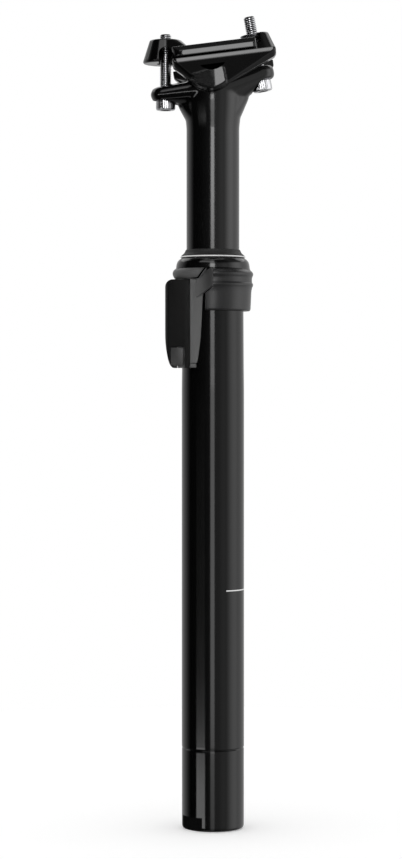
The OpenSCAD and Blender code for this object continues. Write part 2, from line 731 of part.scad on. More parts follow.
// The arched notch that leaves the front bolt open to view under its nut
module front_notch() {
    translate([front_nut_uw[0], 0, front_nut_uw[1]]) rotate([0, front_lean + clamp_tilt, 0]) {
        translate([0, 0, boss_low - notch_half]) cross_cylinder(notch_half, 4 * boss_r);
        translate([-notch_half, -2 * boss_r, boss_low - notch_half - bolt_len])
            cube([2 * notch_half, 4 * boss_r, bolt_len]);
    }
}
module upper_clamp() {
    color("#202022") in_clamp() difference() {
        union() {
            upper_wings();
            translate([-web_x, -wing_in, upper_w + 0.3]) cube([2 * web_x + 4, 2 * wing_in, web_t - 1.5]);
            translate([-web_x, -web_half, upper_w + 0.3]) cube([2 * web_x + 2, 2 * web_half, web_t]);
            boss(front_nut_uw, front_lean, front_boss_h, 3, -web_x);
            boss(rear_nut_uw, rear_lean, rear_boss_h, 2.2, web_x);
        }
        nut_cut(front_nut_uw, front_lean);
        nut_cut(rear_nut_uw, rear_lean);
        front_notch();
        for (s = [-1, 1]) translate([0, s * rail_y, rail_w]) rotate([0, 90, 0])
            cylinder(r = rail_r, h = 90, center = true);
    }
}

// Bolts, washers and nuts
module clamp_bolt() {
    difference() {
        translate([0, 0, head_top - bolt_head_h]) {
            cylinder(r = bolt_head_d / 2, h = bolt_head_h);
            cylinder(r = bolt_r, h = bolt_head_h + bolt_len);
        }
        translate([0, 0, head_top - bolt_head_h - 1]) cylinder(d = 4.6, h = 3.5, $fn = 6);
    }
}
module ball_washer() {
    difference() {
        intersection() {
            sphere(r = ball_r);
            translate([0, 0, head_top]) cylinder(r = washer_r, h = 5);
        }
        cylinder(r = bolt_r + bolt_play, h = 20);
    }
}
module ball_nut() {
    difference() {
        intersection() {
            sphere(r = nut_r);
            translate([0, 0, nut_top - nut_t]) cylinder(r = nut_r, h = nut_t);
        }
        translate([0, 0, -nut_d]) cylinder(r = bolt_r + bolt_play, h = nut_d);
    }
}
module front_bolt() { color("#c9c9cb") on_front_bolt() clamp_bolt(); }
module rear_bolt() { color("#c9c9cb") on_rear_bolt() clamp_bolt(); }
module front_washer() { color("#a8a8aa") on_front_bolt() ball_washer(); }
module rear_washer() { color("#a8a8aa") on_rear_bolt() ball_washer(); }
module front_nut() { color("#8c8c8e") on_front_bolt() translate([0, 0, front_reach]) ball_nut(); }
module rear_nut() { color("#8c8c8e") on_rear_bolt() translate([0, 0, rear_reach]) ball_nut(); }

lower_tube();
foot_cap();
foot_seal();
collar();
upper_bushing();
wiper_ring();
dust_wiper();
top_out_bumper();
module_housing();
housing_cover();
circuit_board();
contact_pins();
pairing_button();
status_lens();
valve_motor();
drive_plunger();
valve_rod();
cartridge_rod();
cartridge_piston();
power_ribbon();
battery_case();
battery_contacts();
battery_latch();
upper_post();
guide_keys();
lower_bushing();
gas_cylinder();
cylinder_seal_head();
fill_valve();
lower_clamp();
upper_clamp();
front_bolt();
rear_bolt();
front_washer();
rear_washer();
front_nut();
rear_nut();
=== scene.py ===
"""Looks for the dropper seatpost: finishes, fine shapes, floor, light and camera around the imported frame."""
import json
import math

import bmesh
import bpy
import numpy as np
from mathutils import Matrix, Vector


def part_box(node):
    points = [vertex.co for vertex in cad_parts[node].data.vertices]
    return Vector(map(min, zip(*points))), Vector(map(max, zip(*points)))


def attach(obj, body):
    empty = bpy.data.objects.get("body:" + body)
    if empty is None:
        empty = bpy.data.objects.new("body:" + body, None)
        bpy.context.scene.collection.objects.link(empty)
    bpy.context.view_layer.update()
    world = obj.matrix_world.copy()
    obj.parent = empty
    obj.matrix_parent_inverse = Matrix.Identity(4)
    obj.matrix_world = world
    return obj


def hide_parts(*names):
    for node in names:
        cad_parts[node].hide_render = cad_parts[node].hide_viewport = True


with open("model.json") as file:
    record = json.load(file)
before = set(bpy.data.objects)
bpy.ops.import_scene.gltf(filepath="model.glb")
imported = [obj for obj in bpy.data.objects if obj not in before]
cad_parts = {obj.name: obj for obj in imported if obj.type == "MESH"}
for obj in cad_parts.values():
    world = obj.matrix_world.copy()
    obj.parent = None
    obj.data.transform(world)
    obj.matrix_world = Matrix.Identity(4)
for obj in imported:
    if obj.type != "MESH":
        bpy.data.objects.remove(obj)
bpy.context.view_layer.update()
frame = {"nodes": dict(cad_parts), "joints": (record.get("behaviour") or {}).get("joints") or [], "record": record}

MM = 0.001


def mm_box(node):
    """A CAD node's lowest and highest corners in millimetres."""
    low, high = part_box(node)
    return [c / MM for c in low], [c / MM for c in high]


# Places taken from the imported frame, in millimetres
(_, _, CAP_TOP), (_, TUBE_R, _) = mm_box("lower_tube")
(_, _, COLLAR_Z), (RING_R, _, COLLAR_TOP) = mm_box("collar")
(FRONT_X, _, BATTERY_Z), (_, BATTERY_HALF, BATTERY_TOP) = mm_box("battery_case")
LIP_Z = mm_box("dust_wiper")[1][2]
POST_LOW = mm_box("upper_post")[0][2]
SHELF_X = mm_box("housing_cover")[0][0]
JOINTS = {j["name"]: Vector(j["pos_m"]) / MM for j in frame["joints"] if "pos_m" in j}
PIVOT = JOINTS["clamp_tilt"]
FRONT_SEAT, REAR_SEAT = JOINTS["front_bolt_swing"], JOINTS["rear_bolt_swing"]
FRONT_NUT, REAR_NUT = JOINTS["front_nut_turn"], JOINTS["rear_nut_turn"]
RAIL_AXIS = Vector(next(m for m in frame["record"]["mounts"] if m["name"] == "right_rail")["axis"])
TILT = math.atan2(RAIL_AXIS.z, RAIL_AXIS.x)

# Sizes that the frame doesn't list, as part.scad has them, in millimetres and degrees
FIT = 0.05
TUBE_WALL = 1.3
POST_R, POST_BORE_R = 11.5, 9.3
NECK_Z = PIVOT.z - 22.5
CRADLE_R, BALL_R, NUT_R = 10.8, 8.0, 5.5
HEAD_SEAT_R, ARM_HOLE_R, NUT_HOLE_R = 5.6, 3.4, 3.8
BOLT_R, HEAD_R, HEAD_H, HEAD_TOP, BOLT_LEN, PITCH = 2.5, 4.2, 5.0, 6.2, 28.0, 0.8
RAIL_R, RAIL_Y, RAIL_W = 3.5, 22.0, 3.9
SPLIT_W, UPPER_W, CLAMP_HALF = 3.5, 4.3, 27.0
LOWER_FRONT, LOWER_REAR, UPPER_FRONT, UPPER_REAR = -16.0, 28.6, -15.5, 20.5
WING_IN = RAIL_Y - RAIL_R - 1.5
FLAT_TURN, FLAT_HALF, FLAT_TOP = 42.0, 12, 6.1
HOUSING_BACK, HOUSING_HALF = -3.5, TUBE_R + 0.7
SHELF_HALF = BATTERY_HALF - 2.7

# Sizes read from the photograph for the scene's own forms
SEAM_X = -10.1
SPLIT_Z, SHOULDER_Z = NECK_Z - 3.4, COLLAR_Z + 17.4
LINE_Z, LINE_THICK, LINE_X = 104.0, 0.5, 5.75

# Camera: the photograph's frame, side on, with its horizon above the middle
PHOTO_H = 859
FOCAL_PX = 2551
CAMERA_PLACE = Vector((-5.19, -1112, 191.1)) * MM
HORIZON_PX = 389


def add_camera():
    data = bpy.data.cameras.new("camera")
    data.sensor_width = 36
    data.lens = data.sensor_width * FOCAL_PX / PHOTO_H
    data.shift_y = (HORIZON_PX - PHOTO_H / 2) / PHOTO_H
    camera = bpy.data.objects.new("camera", data)
    camera.location = CAMERA_PLACE
    camera.rotation_euler = (math.pi / 2, 0, 0)
    bpy.context.scene.collection.objects.link(camera)
    bpy.context.scene.camera = camera


# Materials
def feed(socket, value):
    """Links a socket to another one, or sets it to a constant."""
    if isinstance(value, bpy.types.NodeSocket):
        socket.id_data.links.new(value, socket)
    else:
        socket.default_value = value


class Nodes:
    """A node tree built line by line."""

    def __init__(self, tree):
        self.nodes = tree.nodes

    def add(self, kind, inputs=None, **settings):
        node = self.nodes.new(kind)
        for key, value in settings.items():
            setattr(node, key, value)
        for key, value in (inputs or {}).items():
            feed(node.inputs[key], value)
        return node

    def math(self, operation, a, b=0.0):
        return self.add("ShaderNodeMath", {0: a, 1: b}, operation=operation).outputs["Value"]

    def vector(self, operation, a, b=(0, 0, 0), output="Vector"):
        return self.add("ShaderNodeVectorMath", {0: a, 1: b}, operation=operation).outputs[output]

    def remap(self, value, low, high, from_low=0.0, from_high=1.0, **settings):
        inputs = {"Value": value, "From Min": from_low, "From Max": from_high, "To Min": low, "To Max": high}
        return self.add("ShaderNodeMapRange", inputs, **settings).outputs["Result"]

    def ease(self, value, from_low, from_high, low, high):
        return self.remap(value, low, high, from_low, from_high, interpolation_type="SMOOTHSTEP")


class Shader(Nodes):
    """The nodes of a material: of a new one where a name is given, or of one that is there."""

    def __init__(self, material):
        if isinstance(material, str):
            material = bpy.data.materials.new(material)
            material.use_nodes = True
        super().__init__(material.node_tree)
        self.material = material
        self.bsdf = self.nodes["Principled BSDF"]

    def set(self, **inputs):
        for key, value in inputs.items():
            feed(self.bsdf.inputs[key.replace("_", " ")], value)

    def source(self, name):
        """The socket that one of the shader's inputs is linked to."""
        return self.bsdf.inputs[name].links[0].from_socket

    def place(self):
        return self.add("ShaderNodeTexCoord").outputs["Object"]

    def coordinate(self, axis):
        return self.add("ShaderNodeSeparateXYZ", {"Vector": self.place()}).outputs[axis]

    def noise(self, scale, detail=4.0, roughness=0.6, vector=None):
        inputs = {"Vector": vector or self.place(), "Scale": scale, "Detail": detail, "Roughness": roughness}
        return self.add("ShaderNodeTexNoise", inputs).outputs["Fac"]

    def mix(self, factor, a, b):
        node = self.add("ShaderNodeMix", data_type="RGBA")
        for name, value in (("Factor", factor), ("A", a), ("B", b)):
            feed([s for s in node.inputs if s.name == name and s.enabled][0], value)
        return [s for s in node.outputs if s.enabled][0]

    def bump(self, height, distance, strength=1.0):
        inputs = {"Height": height, "Distance": distance, "Strength": strength}
        return self.add("ShaderNodeBump", inputs).outputs["Normal"]


def grey(value):
    return (value, value, value, 1.0)


def tint(colour, scale):
    return tuple(c * scale for c in colour) + (1,)


def anodised(name, colour, roughness, specular, grain):
    """Black anodised alloy: fine grain, faint handling marks and roughness that drifts."""
    s = Shader(name)
    place = s.place()
    fine = s.noise(grain, 6.0, 0.7, place)
    broad = s.noise(60.0, 3.0, 0.5, place)
    mixed = s.math("ADD", s.math("MULTIPLY", fine, 0.4), s.math("MULTIPLY", broad, 0.6))
    dark, light = colour * 0.8, colour
    s.set(
        Base_Color=s.mix(broad, (dark, dark, dark * 1.05, 1), (light, light, light * 1.06, 1)),
        Specular_IOR_Level=specular,
        Roughness=s.remap(mixed, roughness * 0.82, roughness * 1.18, 0.3, 0.7),
        Normal=s.bump(fine, 0.00002, 0.25),
    )
    return s.material


def moulded(name, colour, roughness, specular):
    """Moulded plastic with a fine spark-eroded texture."""
    s = Shader(name)
    place = s.place()
    fine = s.noise(2600.0, 3.0, 0.6, place)
    broad = s.noise(90.0, 3.0, 0.5, place)
    s.set(
        Base_Color=s.mix(broad, tint(colour, 0.85), tint(colour, 1.1)),
        Specular_IOR_Level=specular,
        Roughness=s.remap(broad, roughness * 0.9, roughness * 1.1, 0.3, 0.7),
        Normal=s.bump(fine, 0.00004, 0.5),
    )
    return s.material


def steel(name, colour, roughness):
    """Plated or machined metal with fine turning marks."""
    s = Shader(name)
    place = s.place()
    stretched = s.add("ShaderNodeMapping", {"Vector": place, "Scale": (1.0, 1.0, 6.0)}).outputs["Vector"]
    marks = s.noise(900.0, 4.0, 0.6, stretched)
    broad = s.noise(220.0, 3.0, 0.5, place)
    s.set(
        Base_Color=s.mix(broad, tint(colour, 0.82), tint(colour, 1.0)),
        Metallic=1.0,
        Roughness=s.remap(marks, roughness * 0.75, roughness * 1.25, 0.3, 0.7),
        Normal=s.bump(marks, 0.00001, 0.4),
    )
    return s.material


def rubber(name, colour, roughness):
    """Moulded rubber, dull and a little uneven."""
    s = Shader(name)
    fine = s.noise(1800.0, 4.0, 0.65)
    s.set(
        Base_Color=s.mix(fine, grey(colour * 0.8), grey(colour * 1.3)),
        Roughness=s.remap(fine, roughness * 0.9, roughness * 1.1),
        Specular_IOR_Level=0.4,
        Normal=s.bump(fine, 0.00003, 0.5),
    )
    return s.material


def with_line(material):
    """Adds the thin printed line round the back of the tube, where its surface has X above LINE_X."""
    s = Shader(material)
    off = s.math("ABSOLUTE", s.math("SUBTRACT", s.coordinate("Z"), LINE_Z * MM))
    inside = s.math("LESS_THAN", off, LINE_THICK / 2 * MM)
    mask = s.math("MULTIPLY", inside, s.math("GREATER_THAN", s.coordinate("X"), LINE_X * MM))
    s.set(Base_Color=s.mix(mask, s.source("Base Color"), grey(0.8)))
    return material


def painted_groove_shade(material, place, low, high):
    """Painted shade in a turned part's grooves: darkens it where its surface lies deep, from high down to low
    millimetres from its axis.
    """
    s = Shader(material)
    away = s.vector("SUBTRACT", s.place(), tuple(place.translation * MM))
    cross = s.vector("CROSS_PRODUCT", away, tuple(place.to_3x3() @ Vector((0, 0, 1))))
    crest = s.remap(s.vector("LENGTH", cross, output="Value"), 0.0, 1.0, low * MM, high * MM)
    # Painted shade: near black down in the grooves, the part's own colour on the crests
    s.set(Base_Color=s.mix(crest, grey(0.02), s.source("Base Color")))
    return material


def graded(material, name, axis, low, high, scale):
    """Scales one input of a material, fully where its place on an axis is beyond high, in millimetres."""
    s = Shader(material)
    factor = s.ease(s.coordinate(axis), low * MM, high * MM, 1.0, scale)
    multiply = s.vector if name == "Base Color" else s.math
    feed(s.bsdf.inputs[name], multiply("MULTIPLY", s.source(name), factor))
    return material


# Frames, in millimetres
def along(start, end):
    """A frame with its origin at start and Z towards end."""
    return Matrix.Translation(start) @ (end - start).to_track_quat("Z", "Y").to_matrix().to_4x4()


def leaning(centre, lean):
    """A frame at centre that leans by an angle about the axis across the post."""
    return Matrix.Translation(centre) @ Matrix.Rotation(lean, 4, "Y")


def in_metres(place):
    return Matrix.Translation(place.translation * MM) @ place.to_3x3().to_4x4()


IN_CLAMP = leaning(PIVOT, -TILT)
ON_FRONT = along(FRONT_SEAT, FRONT_NUT)
ON_REAR = along(REAR_SEAT, REAR_NUT)
ON_SIDE = Matrix.Rotation(math.pi / 2, 4, "X")
MIRROR = Matrix.Scale(-1, 4, (0, 1, 0))


# Mesh helpers. They work in millimetres and in the row frame.
def shade(bm, smooth_deg):
    """Smooth faces, with sharp edges where they turn hard."""
    limit = math.radians(smooth_deg)
    for face in bm.faces:
        face.smooth = True
    for edge in bm.edges:
        edge.smooth = len(edge.link_faces) == 2 and edge.calc_face_angle(0.0) < limit


def finish_mesh(bm, name="cut", material=None, smooth_deg=32.0):
    """Turns a bmesh in millimetres into an object in metres. A cutter needs no name or material."""
    bmesh.ops.recalc_face_normals(bm, faces=bm.faces[:])
    bmesh.ops.scale(bm, vec=(MM, MM, MM), verts=bm.verts[:])
    shade(bm, smooth_deg)
    mesh = bpy.data.meshes.new(name)
    bm.to_mesh(mesh)
    bm.free()
    if material:
        mesh.materials.append(material)
    obj = bpy.data.objects.new(name, mesh)
    bpy.context.scene.collection.objects.link(obj)
    return obj


def arc(cx, cy, radius, start, end, steps=6):
    """Points along an arc, angles in degrees."""
    angles = [math.radians(start + (end - start) * k / steps) for k in range(steps + 1)]
    return [(cx + radius * math.cos(a), cy + radius * math.sin(a)) for a in angles]


def rounded_profile(points, steps=4):
    """A list of (r, z) or (r, z, corner radius) points, with the corners between its ends rounded."""
    result = []
    for i, point in enumerate(points):
        here = Vector(point[:2])
        if len(point) < 3 or i in (0, len(points) - 1):
            result.append(here)
            continue
        a, b = Vector(points[i - 1][:2]) - here, Vector(points[i + 1][:2]) - here
        reach = min(point[2], a.length * 0.48, b.length * 0.48)
        start, end = here + a.normalized() * reach, here + b.normalized() * reach
        for k in range(steps + 1):
            t = k / steps
            result.append((1 - t) ** 2 * start + 2 * t * (1 - t) * here + t * t * end)
    return result


def cylinder(radius, low, high):
    """The profile of a plain cylinder."""
    return [(0, low), (radius, low), (radius, high), (0, high)]


def lathe(bm, profile, segments=192, closed=False, place=None):
    """Turns a profile of (r, z) points round Z. closed joins its last point to its first."""
    grid, poles = [], {}
    for k in range(segments):
        angle = 2 * math.pi * k / segments
        row = []
        for i, (r, z) in enumerate(profile):
            row.append(poles.get(i) or bm.verts.new((r * math.cos(angle), r * math.sin(angle), z)))
            if r < 1e-6:
                poles[i] = row[-1]
        grid.append(row)
    for a, b in zip(grid, grid[1:] + grid[:1]):
        for i in range(len(profile) if closed else len(profile) - 1):
            j = (i + 1) % len(profile)
            corners = list(dict.fromkeys((a[i], b[i], b[j], a[j])))
            if len(corners) > 2:
                bm.faces.new(corners)
    if place is not None:
        bmesh.ops.transform(bm, matrix=place, verts=list(dict.fromkeys(v for row in grid for v in row)))


def turned(profile, name="cut", material=None, smooth_deg=32.0, **options):
    """A lathed object."""
    bm = bmesh.new()
    lathe(bm, profile, **options)
    return finish_mesh(bm, name, material, smooth_deg)


def cross_bar(bm, half, radius, centre=Vector((0, 0, 0))):
    """A round bar across the post."""
    reach = Vector((0, half, 0))
    lathe(bm, cylinder(radius, 0, 2 * half), 160, place=along(centre - reach, centre + reach))


def skin(bm, a, b):
    """Quads between two rings of as many vertices."""
    for k in range(len(a)):
        j = (k + 1) % len(a)
        bm.faces.new((a[k], a[j], b[j], b[k]))


def ring(bm, radii, z):
    """A ring of vertices at height z, with a radius for each."""
    turn = 2 * math.pi / len(radii)
    return [bm.verts.new((r * math.cos(turn * k), r * math.sin(turn * k), z)) for k, r in enumerate(radii)]


def prism(bm, outline, low, high, place=None):
    """A closed outline of (x, y) points pulled from low to high along Z."""
    bottom, top = [[bm.verts.new((x, y, z)) for x, y in outline] for z in (low, high)]
    bm.faces.new(bottom[::-1])
    bm.faces.new(top)
    skin(bm, bottom, top)
    if place is not None:
        bmesh.ops.transform(bm, matrix=place, verts=bottom + top)
    return bottom + top


def side_solid(outline, half):
    """A side view outline of (x, z) points, made solid across the post."""
    bm = bmesh.new()
    prism(bm, outline, -half, half, ON_SIDE)
    return finish_mesh(bm)


def box_mesh(bm, low, high):
    """A box between two corners."""
    made = bmesh.ops.create_cube(bm, size=1)["verts"]
    bmesh.ops.scale(bm, vec=[b - a for a, b in zip(low, high)], verts=made)
    bmesh.ops.translate(bm, vec=[(a + b) / 2 for a, b in zip(low, high)], verts=made)


def box_solid(low, high, name="cut", material=None):
    bm = bmesh.new()
    box_mesh(bm, low, high)
    return finish_mesh(bm, name, material)


def box_pair(low, high):
    """A box on the far side and its twin on the camera's side, as cutters."""
    twin = box_solid((low[0], -high[1], low[2]), (high[0], -low[1], high[2]))
    return [twin, box_solid(low, high)]


def hull_of(bm, points):
    """The convex hull of points in millimetres, added to bm."""
    verts = [bm.verts.new(p) for p in points]
    result = bmesh.ops.convex_hull(bm, input=verts)
    spare = [v for v in result["geom_interior"] + result["geom_unused"] if isinstance(v, bmesh.types.BMVert)]
    bmesh.ops.delete(bm, geom=list(set(spare)), context="VERTS")


def ring_points(place, rings, count):
    """Points round each (radius, height) ring of a turned form."""
    angles = [2 * math.pi * k / count for k in range(count)]
    return [place @ Vector((r * math.cos(a), r * math.sin(a), z)) for r, z in rings for a in angles]


def disc_points(place, radius, low, high, rim=0.0, count=48):
    """Points round a disc's two faces, with its rims rounded by rim."""
    near = rim * 0.3
    return ring_points(place, (
        (radius - rim, low), (radius - near, low + near), (radius, low + rim),
        (radius, high - rim), (radius - near, high - near), (radius - rim, high)), count)


def apply_modifiers(obj):
    depsgraph = bpy.context.evaluated_depsgraph_get()
    depsgraph.update()
    mesh = bpy.data.meshes.new_from_object(obj.evaluated_get(depsgraph), depsgraph=depsgraph)
    old = obj.data
    obj.modifiers.clear()
    obj.data = mesh
    mesh.name = obj.name
    bpy.data.meshes.remove(old)


def boolean(obj, cutters, operation="DIFFERENCE"):
    """Applies cutters to obj and removes them."""
    for cutter in cutters:
        modifier = obj.modifiers.new("cut", "BOOLEAN")
        modifier.operation = operation
        modifier.solver = "EXACT"
        modifier.object = cutter
    apply_modifiers(obj)
    for cutter in cutters:
        bpy.data.objects.remove(cutter)


def sharpen(obj, smooth_deg=32.0):
    """Shades a finished mesh again."""
    bm = bmesh.new()
    bm.from_mesh(obj.data)
    shade(bm, smooth_deg)
    bm.to_mesh(obj.data)
    bm.free()


def bevel(obj, width, segments=2, angle=40):
    """Rounds an object's hard edges by width in millimetres."""
    modifier = obj.modifiers.new("bevel", "BEVEL")
    modifier.width = width * MM
    modifier.segments = segments
    modifier.limit_method = "ANGLE"
    modifier.angle_limit = math.radians(angle)
    apply_modifiers(obj)
    sharpen(obj)


def remesh(obj, voxel, rounds):
    """Joins overlapping shells into one skin and blends their junctions."""
    modifier = obj.modifiers.new("skin", "REMESH")
    modifier.mode = "VOXEL"
    modifier.voxel_size = voxel * MM
    soften = obj.modifiers.new("soften", "SMOOTH")
    soften.factor = 0.5
    soften.iterations = rounds
    apply_modifiers(obj)


# Lower tube, foot cap, collar and wiper
def lower_tube_piece(material):
    """The clamped tube, with the fine chamfer at its lower end and the step under the collar."""
    bore, relief, top = TUBE_R - TUBE_WALL, TUBE_R - 0.25, COLLAR_Z + 12.8
    tube = turned(rounded_profile([
        (bore, CAP_TOP), (TUBE_R - 0.3, CAP_TOP, 0.1), (TUBE_R, CAP_TOP + 0.35, 0.1), (TUBE_R, CAP_TOP + 1.2),
        (TUBE_R, COLLAR_Z - 34, 2), (TUBE_R - 0.11, COLLAR_Z - 24.8, 2), (relief, COLLAR_Z), (relief, top),
        (bore, top), (bore, CAP_TOP)]), "tube", material, closed=True)
    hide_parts("lower_tube")
    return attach(tube, "lower_body")


def foot_cap_piece(material):
    """The screwed cap: a rounded foot, two milled wrench flats and a fine groove where it meets the tube."""
    radius, spigot = TUBE_R - FIT, TUBE_R - 1.45
    cap = turned(rounded_profile([
        (0, 0), (radius - 1.5, 0, 0.3), (radius - 0.45, 0.35, 0.5), (radius, 1.3, 0.5), (radius, 7),
        (radius, 9), (radius, CAP_TOP - 1.4), (radius, CAP_TOP - 0.55, 0.15),
        (radius - 0.3, CAP_TOP - 0.2, 0.1), (radius - 0.3, CAP_TOP + 0.5), (spigot, CAP_TOP + 0.5),
        (spigot, CAP_TOP + 14), (0, CAP_TOP + 14)]), "cap", material)
    flats = []
    for turn in (FLAT_TURN, FLAT_TURN + 180):
        flats.append(box_solid((FLAT_HALF, -15, -0.5), (FLAT_HALF + 5, 15, FLAT_TOP)))
        flats[-1].data.transform(Matrix.Rotation(math.radians(turn), 4, "Z"))
    boolean(cap, flats)
    bevel(cap, 0.12)
    sharpen(cap, 18)
    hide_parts("foot_cap")
    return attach(cap, "lower_body")


def collar_piece(material):
    """The collar's skirt, its two grip ridges and the shoulder that sweeps in to the wiper."""
    z, r, bore = COLLAR_Z, RING_R, TUBE_R - 0.4
    collar = turned(rounded_profile([
        (TUBE_R - 0.1, z, 0.1), (16.0, z, 0.35), (16.4, z + 0.7, 0.3), (16.55, z + 3.5), (16.75, z + 8.6, 0.8),
        (r - 0.5, z + 10.2, 0.5), (r - 0.08, z + 11.1, 0.35), (r - 0.08, z + 11.7, 0.35),
        (r - 0.55, z + 12.4, 0.5), (r - 0.6, z + 14.5, 0.6), (r - 0.05, z + 15.5, 0.4),
        (r - 0.02, z + 16.4, 0.5), (r - 0.55, z + 17.15, 0.3), (r - 1.15, z + 17.6, 0.5),
        (r - 1.5, z + 18.5, 0.6), (r - 1.65, z + 20, 0.8), (r - 2.05, z + 21.4, 0.8), (r - 2.9, z + 22.4, 0.8),
        (r - 3.75, z + 22.95, 0.2), (r - 3.85, COLLAR_TOP), (bore, COLLAR_TOP), (bore, COLLAR_TOP - 4),
        (bore, z + 13), (TUBE_R - 0.1, z + 13)]),
        "collar_shell", material, closed=True, segments=256)
    # The module's seat is cut as the CAD's is, so the housing fits it
    back, inner, top = HOUSING_BACK + 0.12, 0.12, z + 18.5
    seat = [(-30, z - 1), (back, z - 1), (back, z + 7.4), (inner, z + 9.8), (inner, top), (-30, top)]
    boolean(collar, [side_solid(seat, 30)])
    sharpen(collar, 30)
    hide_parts("collar")
    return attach(collar, "lower_body")


def wiper_pieces(ring_material, rubber_material):
    """The pale retaining ring and the rubber wiper with its thin lip."""
    z, bore, rim = COLLAR_TOP, TUBE_R - 0.4, TUBE_R + 0.55
    pale = turned(rounded_profile([
        (bore, z, 0.05), (rim, z, 0.15), (rim, z + 0.55, 0.15), (bore, z + 0.6), (bore, z)]),
        "retaining_ring", ring_material, closed=True)
    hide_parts("wiper_ring")
    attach(pale, "lower_body")
    inner, seat = POST_R + 0.4, TUBE_R - 0.45
    wiper = turned(rounded_profile([
        (inner, z - 3.9), (seat, z - 3.9), (seat, z + 0.65, 0.1), (TUBE_R + 0.3, z + 0.75, 0.15),
        (seat, z + 1.35, 0.6), (TUBE_R - 1.1, z + 2.0, 0.3), (POST_R + 0.65, z + 2.6, 0.3),
        (POST_R + 0.3, LIP_Z, 0.12), (POST_R + 0.05, LIP_Z, 0.05), (POST_R + 0.08, z + 2.6, 0.2),
        (inner, z + 2.0, 0.2), (inner, z - 3.9)]), "wiper", rubber_material, closed=True)
    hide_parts("dust_wiper")
    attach(wiper, "lower_body")


# Forged head and stanchion. A ball's seat in an arm begins this far above the ball's centre.
SEAT_EDGE = math.sqrt((BALL_R + FIT) ** 2 - HEAD_SEAT_R ** 2)


def bolt_seat_cutter(place):
    """Head clearance, ball seat and bolt hole of an arm."""
    ball = BALL_R + FIT
    start, end = math.atan2(SEAT_EDGE, HEAD_SEAT_R), math.acos(ARM_HOLE_R / ball)
    seat = arc(0, 0, ball, math.degrees(start), math.degrees(end), 12)
    return turned([(0, -8), (HEAD_SEAT_R, -8)] + seat + [(ARM_HOLE_R, 30), (0, 30)],
                  segments=128, place=place)


def head_piece(material):
    """The forged head: a neck that flares into two arms, the cradle and the ball seats under the arms."""
    neck_r, z, shoulder = POST_R + 1.1, NECK_Z, NECK_Z + 17.8
    bm = bmesh.new()
    lathe(bm, [(0, z - 8), (POST_R, z - 8), (POST_R, z - 3.5), (POST_R + 0.12, z - 1.7),
               (POST_R + 0.37, z + 0.6), (POST_R + 0.64, z + 3.0), (neck_r - 0.2, z + 5.6), (neck_r, z + 8.5),
               (neck_r, shoulder - 1), (neck_r - 1, shoulder), (0, shoulder)], segments=160)

    def disc(x, radius, low, high, rim):
        return disc_points(Matrix.Translation((x, 0, 0)), radius, low, high, rim)

    root = disc(0, neck_r - 0.2, z + 9.5, shoulder - 0.2, 3.0)
    front = disc_points(ON_FRONT, 6.6, SEAT_EDGE - 1.3, SEAT_EDGE + 5.6, 3.1)
    front += disc(-6.5, 8.0, z + 7.4, shoulder - 0.4, 2.0)
    hull_of(bm, front + root)
    rear = disc_points(ON_REAR, 6.3, SEAT_EDGE + 0.1, SEAT_EDGE + 6.2, 1.8)
    rear += disc(5.4, 8.0, z + 8.4, shoulder - 0.2, 2.0)
    hull_of(bm, rear + root)
    # Gussets that sweep the arms' undersides into the neck
    hull_of(bm, disc(-9.2, 6.0, z + 4.6, z + 12, 2.4) + disc(-2, 10.6, z + 1, z + 12, 1.0))
    hull_of(bm, disc(9.6, 6.0, z + 7.6, z + 14, 2.4) + disc(2, 10.6, z + 2, z + 14, 1.0))
    head = finish_mesh(bm, "head", material)
    remesh(head, 0.42, 18)
    cradle = bmesh.new()
    cross_bar(cradle, 30, CRADLE_R + FIT, PIVOT)
    boolean(head, [finish_mesh(cradle), box_solid((-30, -30, SPLIT_Z - 30), (30, 30, SPLIT_Z)),
                   bolt_seat_cutter(ON_FRONT), bolt_seat_cutter(ON_REAR)])
    sharpen(head, 38)
    return head


def upper_post_pieces(material):
    """The polished tube, down to its open lower end, and the head on top of it."""
    tube = turned(rounded_profile([
        (POST_BORE_R, POST_LOW, 0.1), (POST_R - 0.2, POST_LOW, 0.1), (POST_R, POST_LOW + 0.3, 0.1),
        (POST_R, SPLIT_Z), (POST_BORE_R, SPLIT_Z), (POST_BORE_R, POST_LOW)]),
        "stanchion", material, closed=True, segments=256)
    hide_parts("upper_post")
    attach(tube, "post")
    head = head_piece(material)
    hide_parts("upper_post")
    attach(head, "post")


# Saddle clamp, modelled in its own frame: X along the rails, Z square to them
FRONT_UW, REAR_UW = [IN_CLAMP.inverted() @ nut for nut in (FRONT_NUT, REAR_NUT)]
FRONT_LEAN, REAR_LEAN = [math.atan2(v.x, v.z) + TILT for v in (FRONT_NUT - FRONT_SEAT, REAR_NUT - REAR_SEAT)]


def rail_cutters():
    half = 45
    ends = [(Vector((-half, y, RAIL_W)), Vector((half, y, RAIL_W))) for y in (-RAIL_Y, RAIL_Y)]
    return [turned(cylinder(RAIL_R, 0, 2 * half), segments=96, place=along(a, b)) for a, b in ends]


def lug_points(side):
    """The keystone lug that closes the cradle under a rail, its face turned a little to the front."""
    r, slope, slope_from, inset, points = CRADLE_R - 0.3, 0.12, 1.4, 0.965, []
    outline = [(u, -math.sqrt(r * r - u * u)) for u in np.linspace(-8.7, 6.2, 22)]
    outline += [(u, 1.5) for u in (5.4, 2.0, -2.0, -5.4)]
    for u, w in outline:
        face = CLAMP_HALF - 2.5 - slope * max(0, slope_from - u)
        points += [Vector((u, side * (WING_IN - 1), w)), Vector((u, side * (face - 0.5), w)),
                   Vector((u * inset, side * face, w * inset))]
    return points


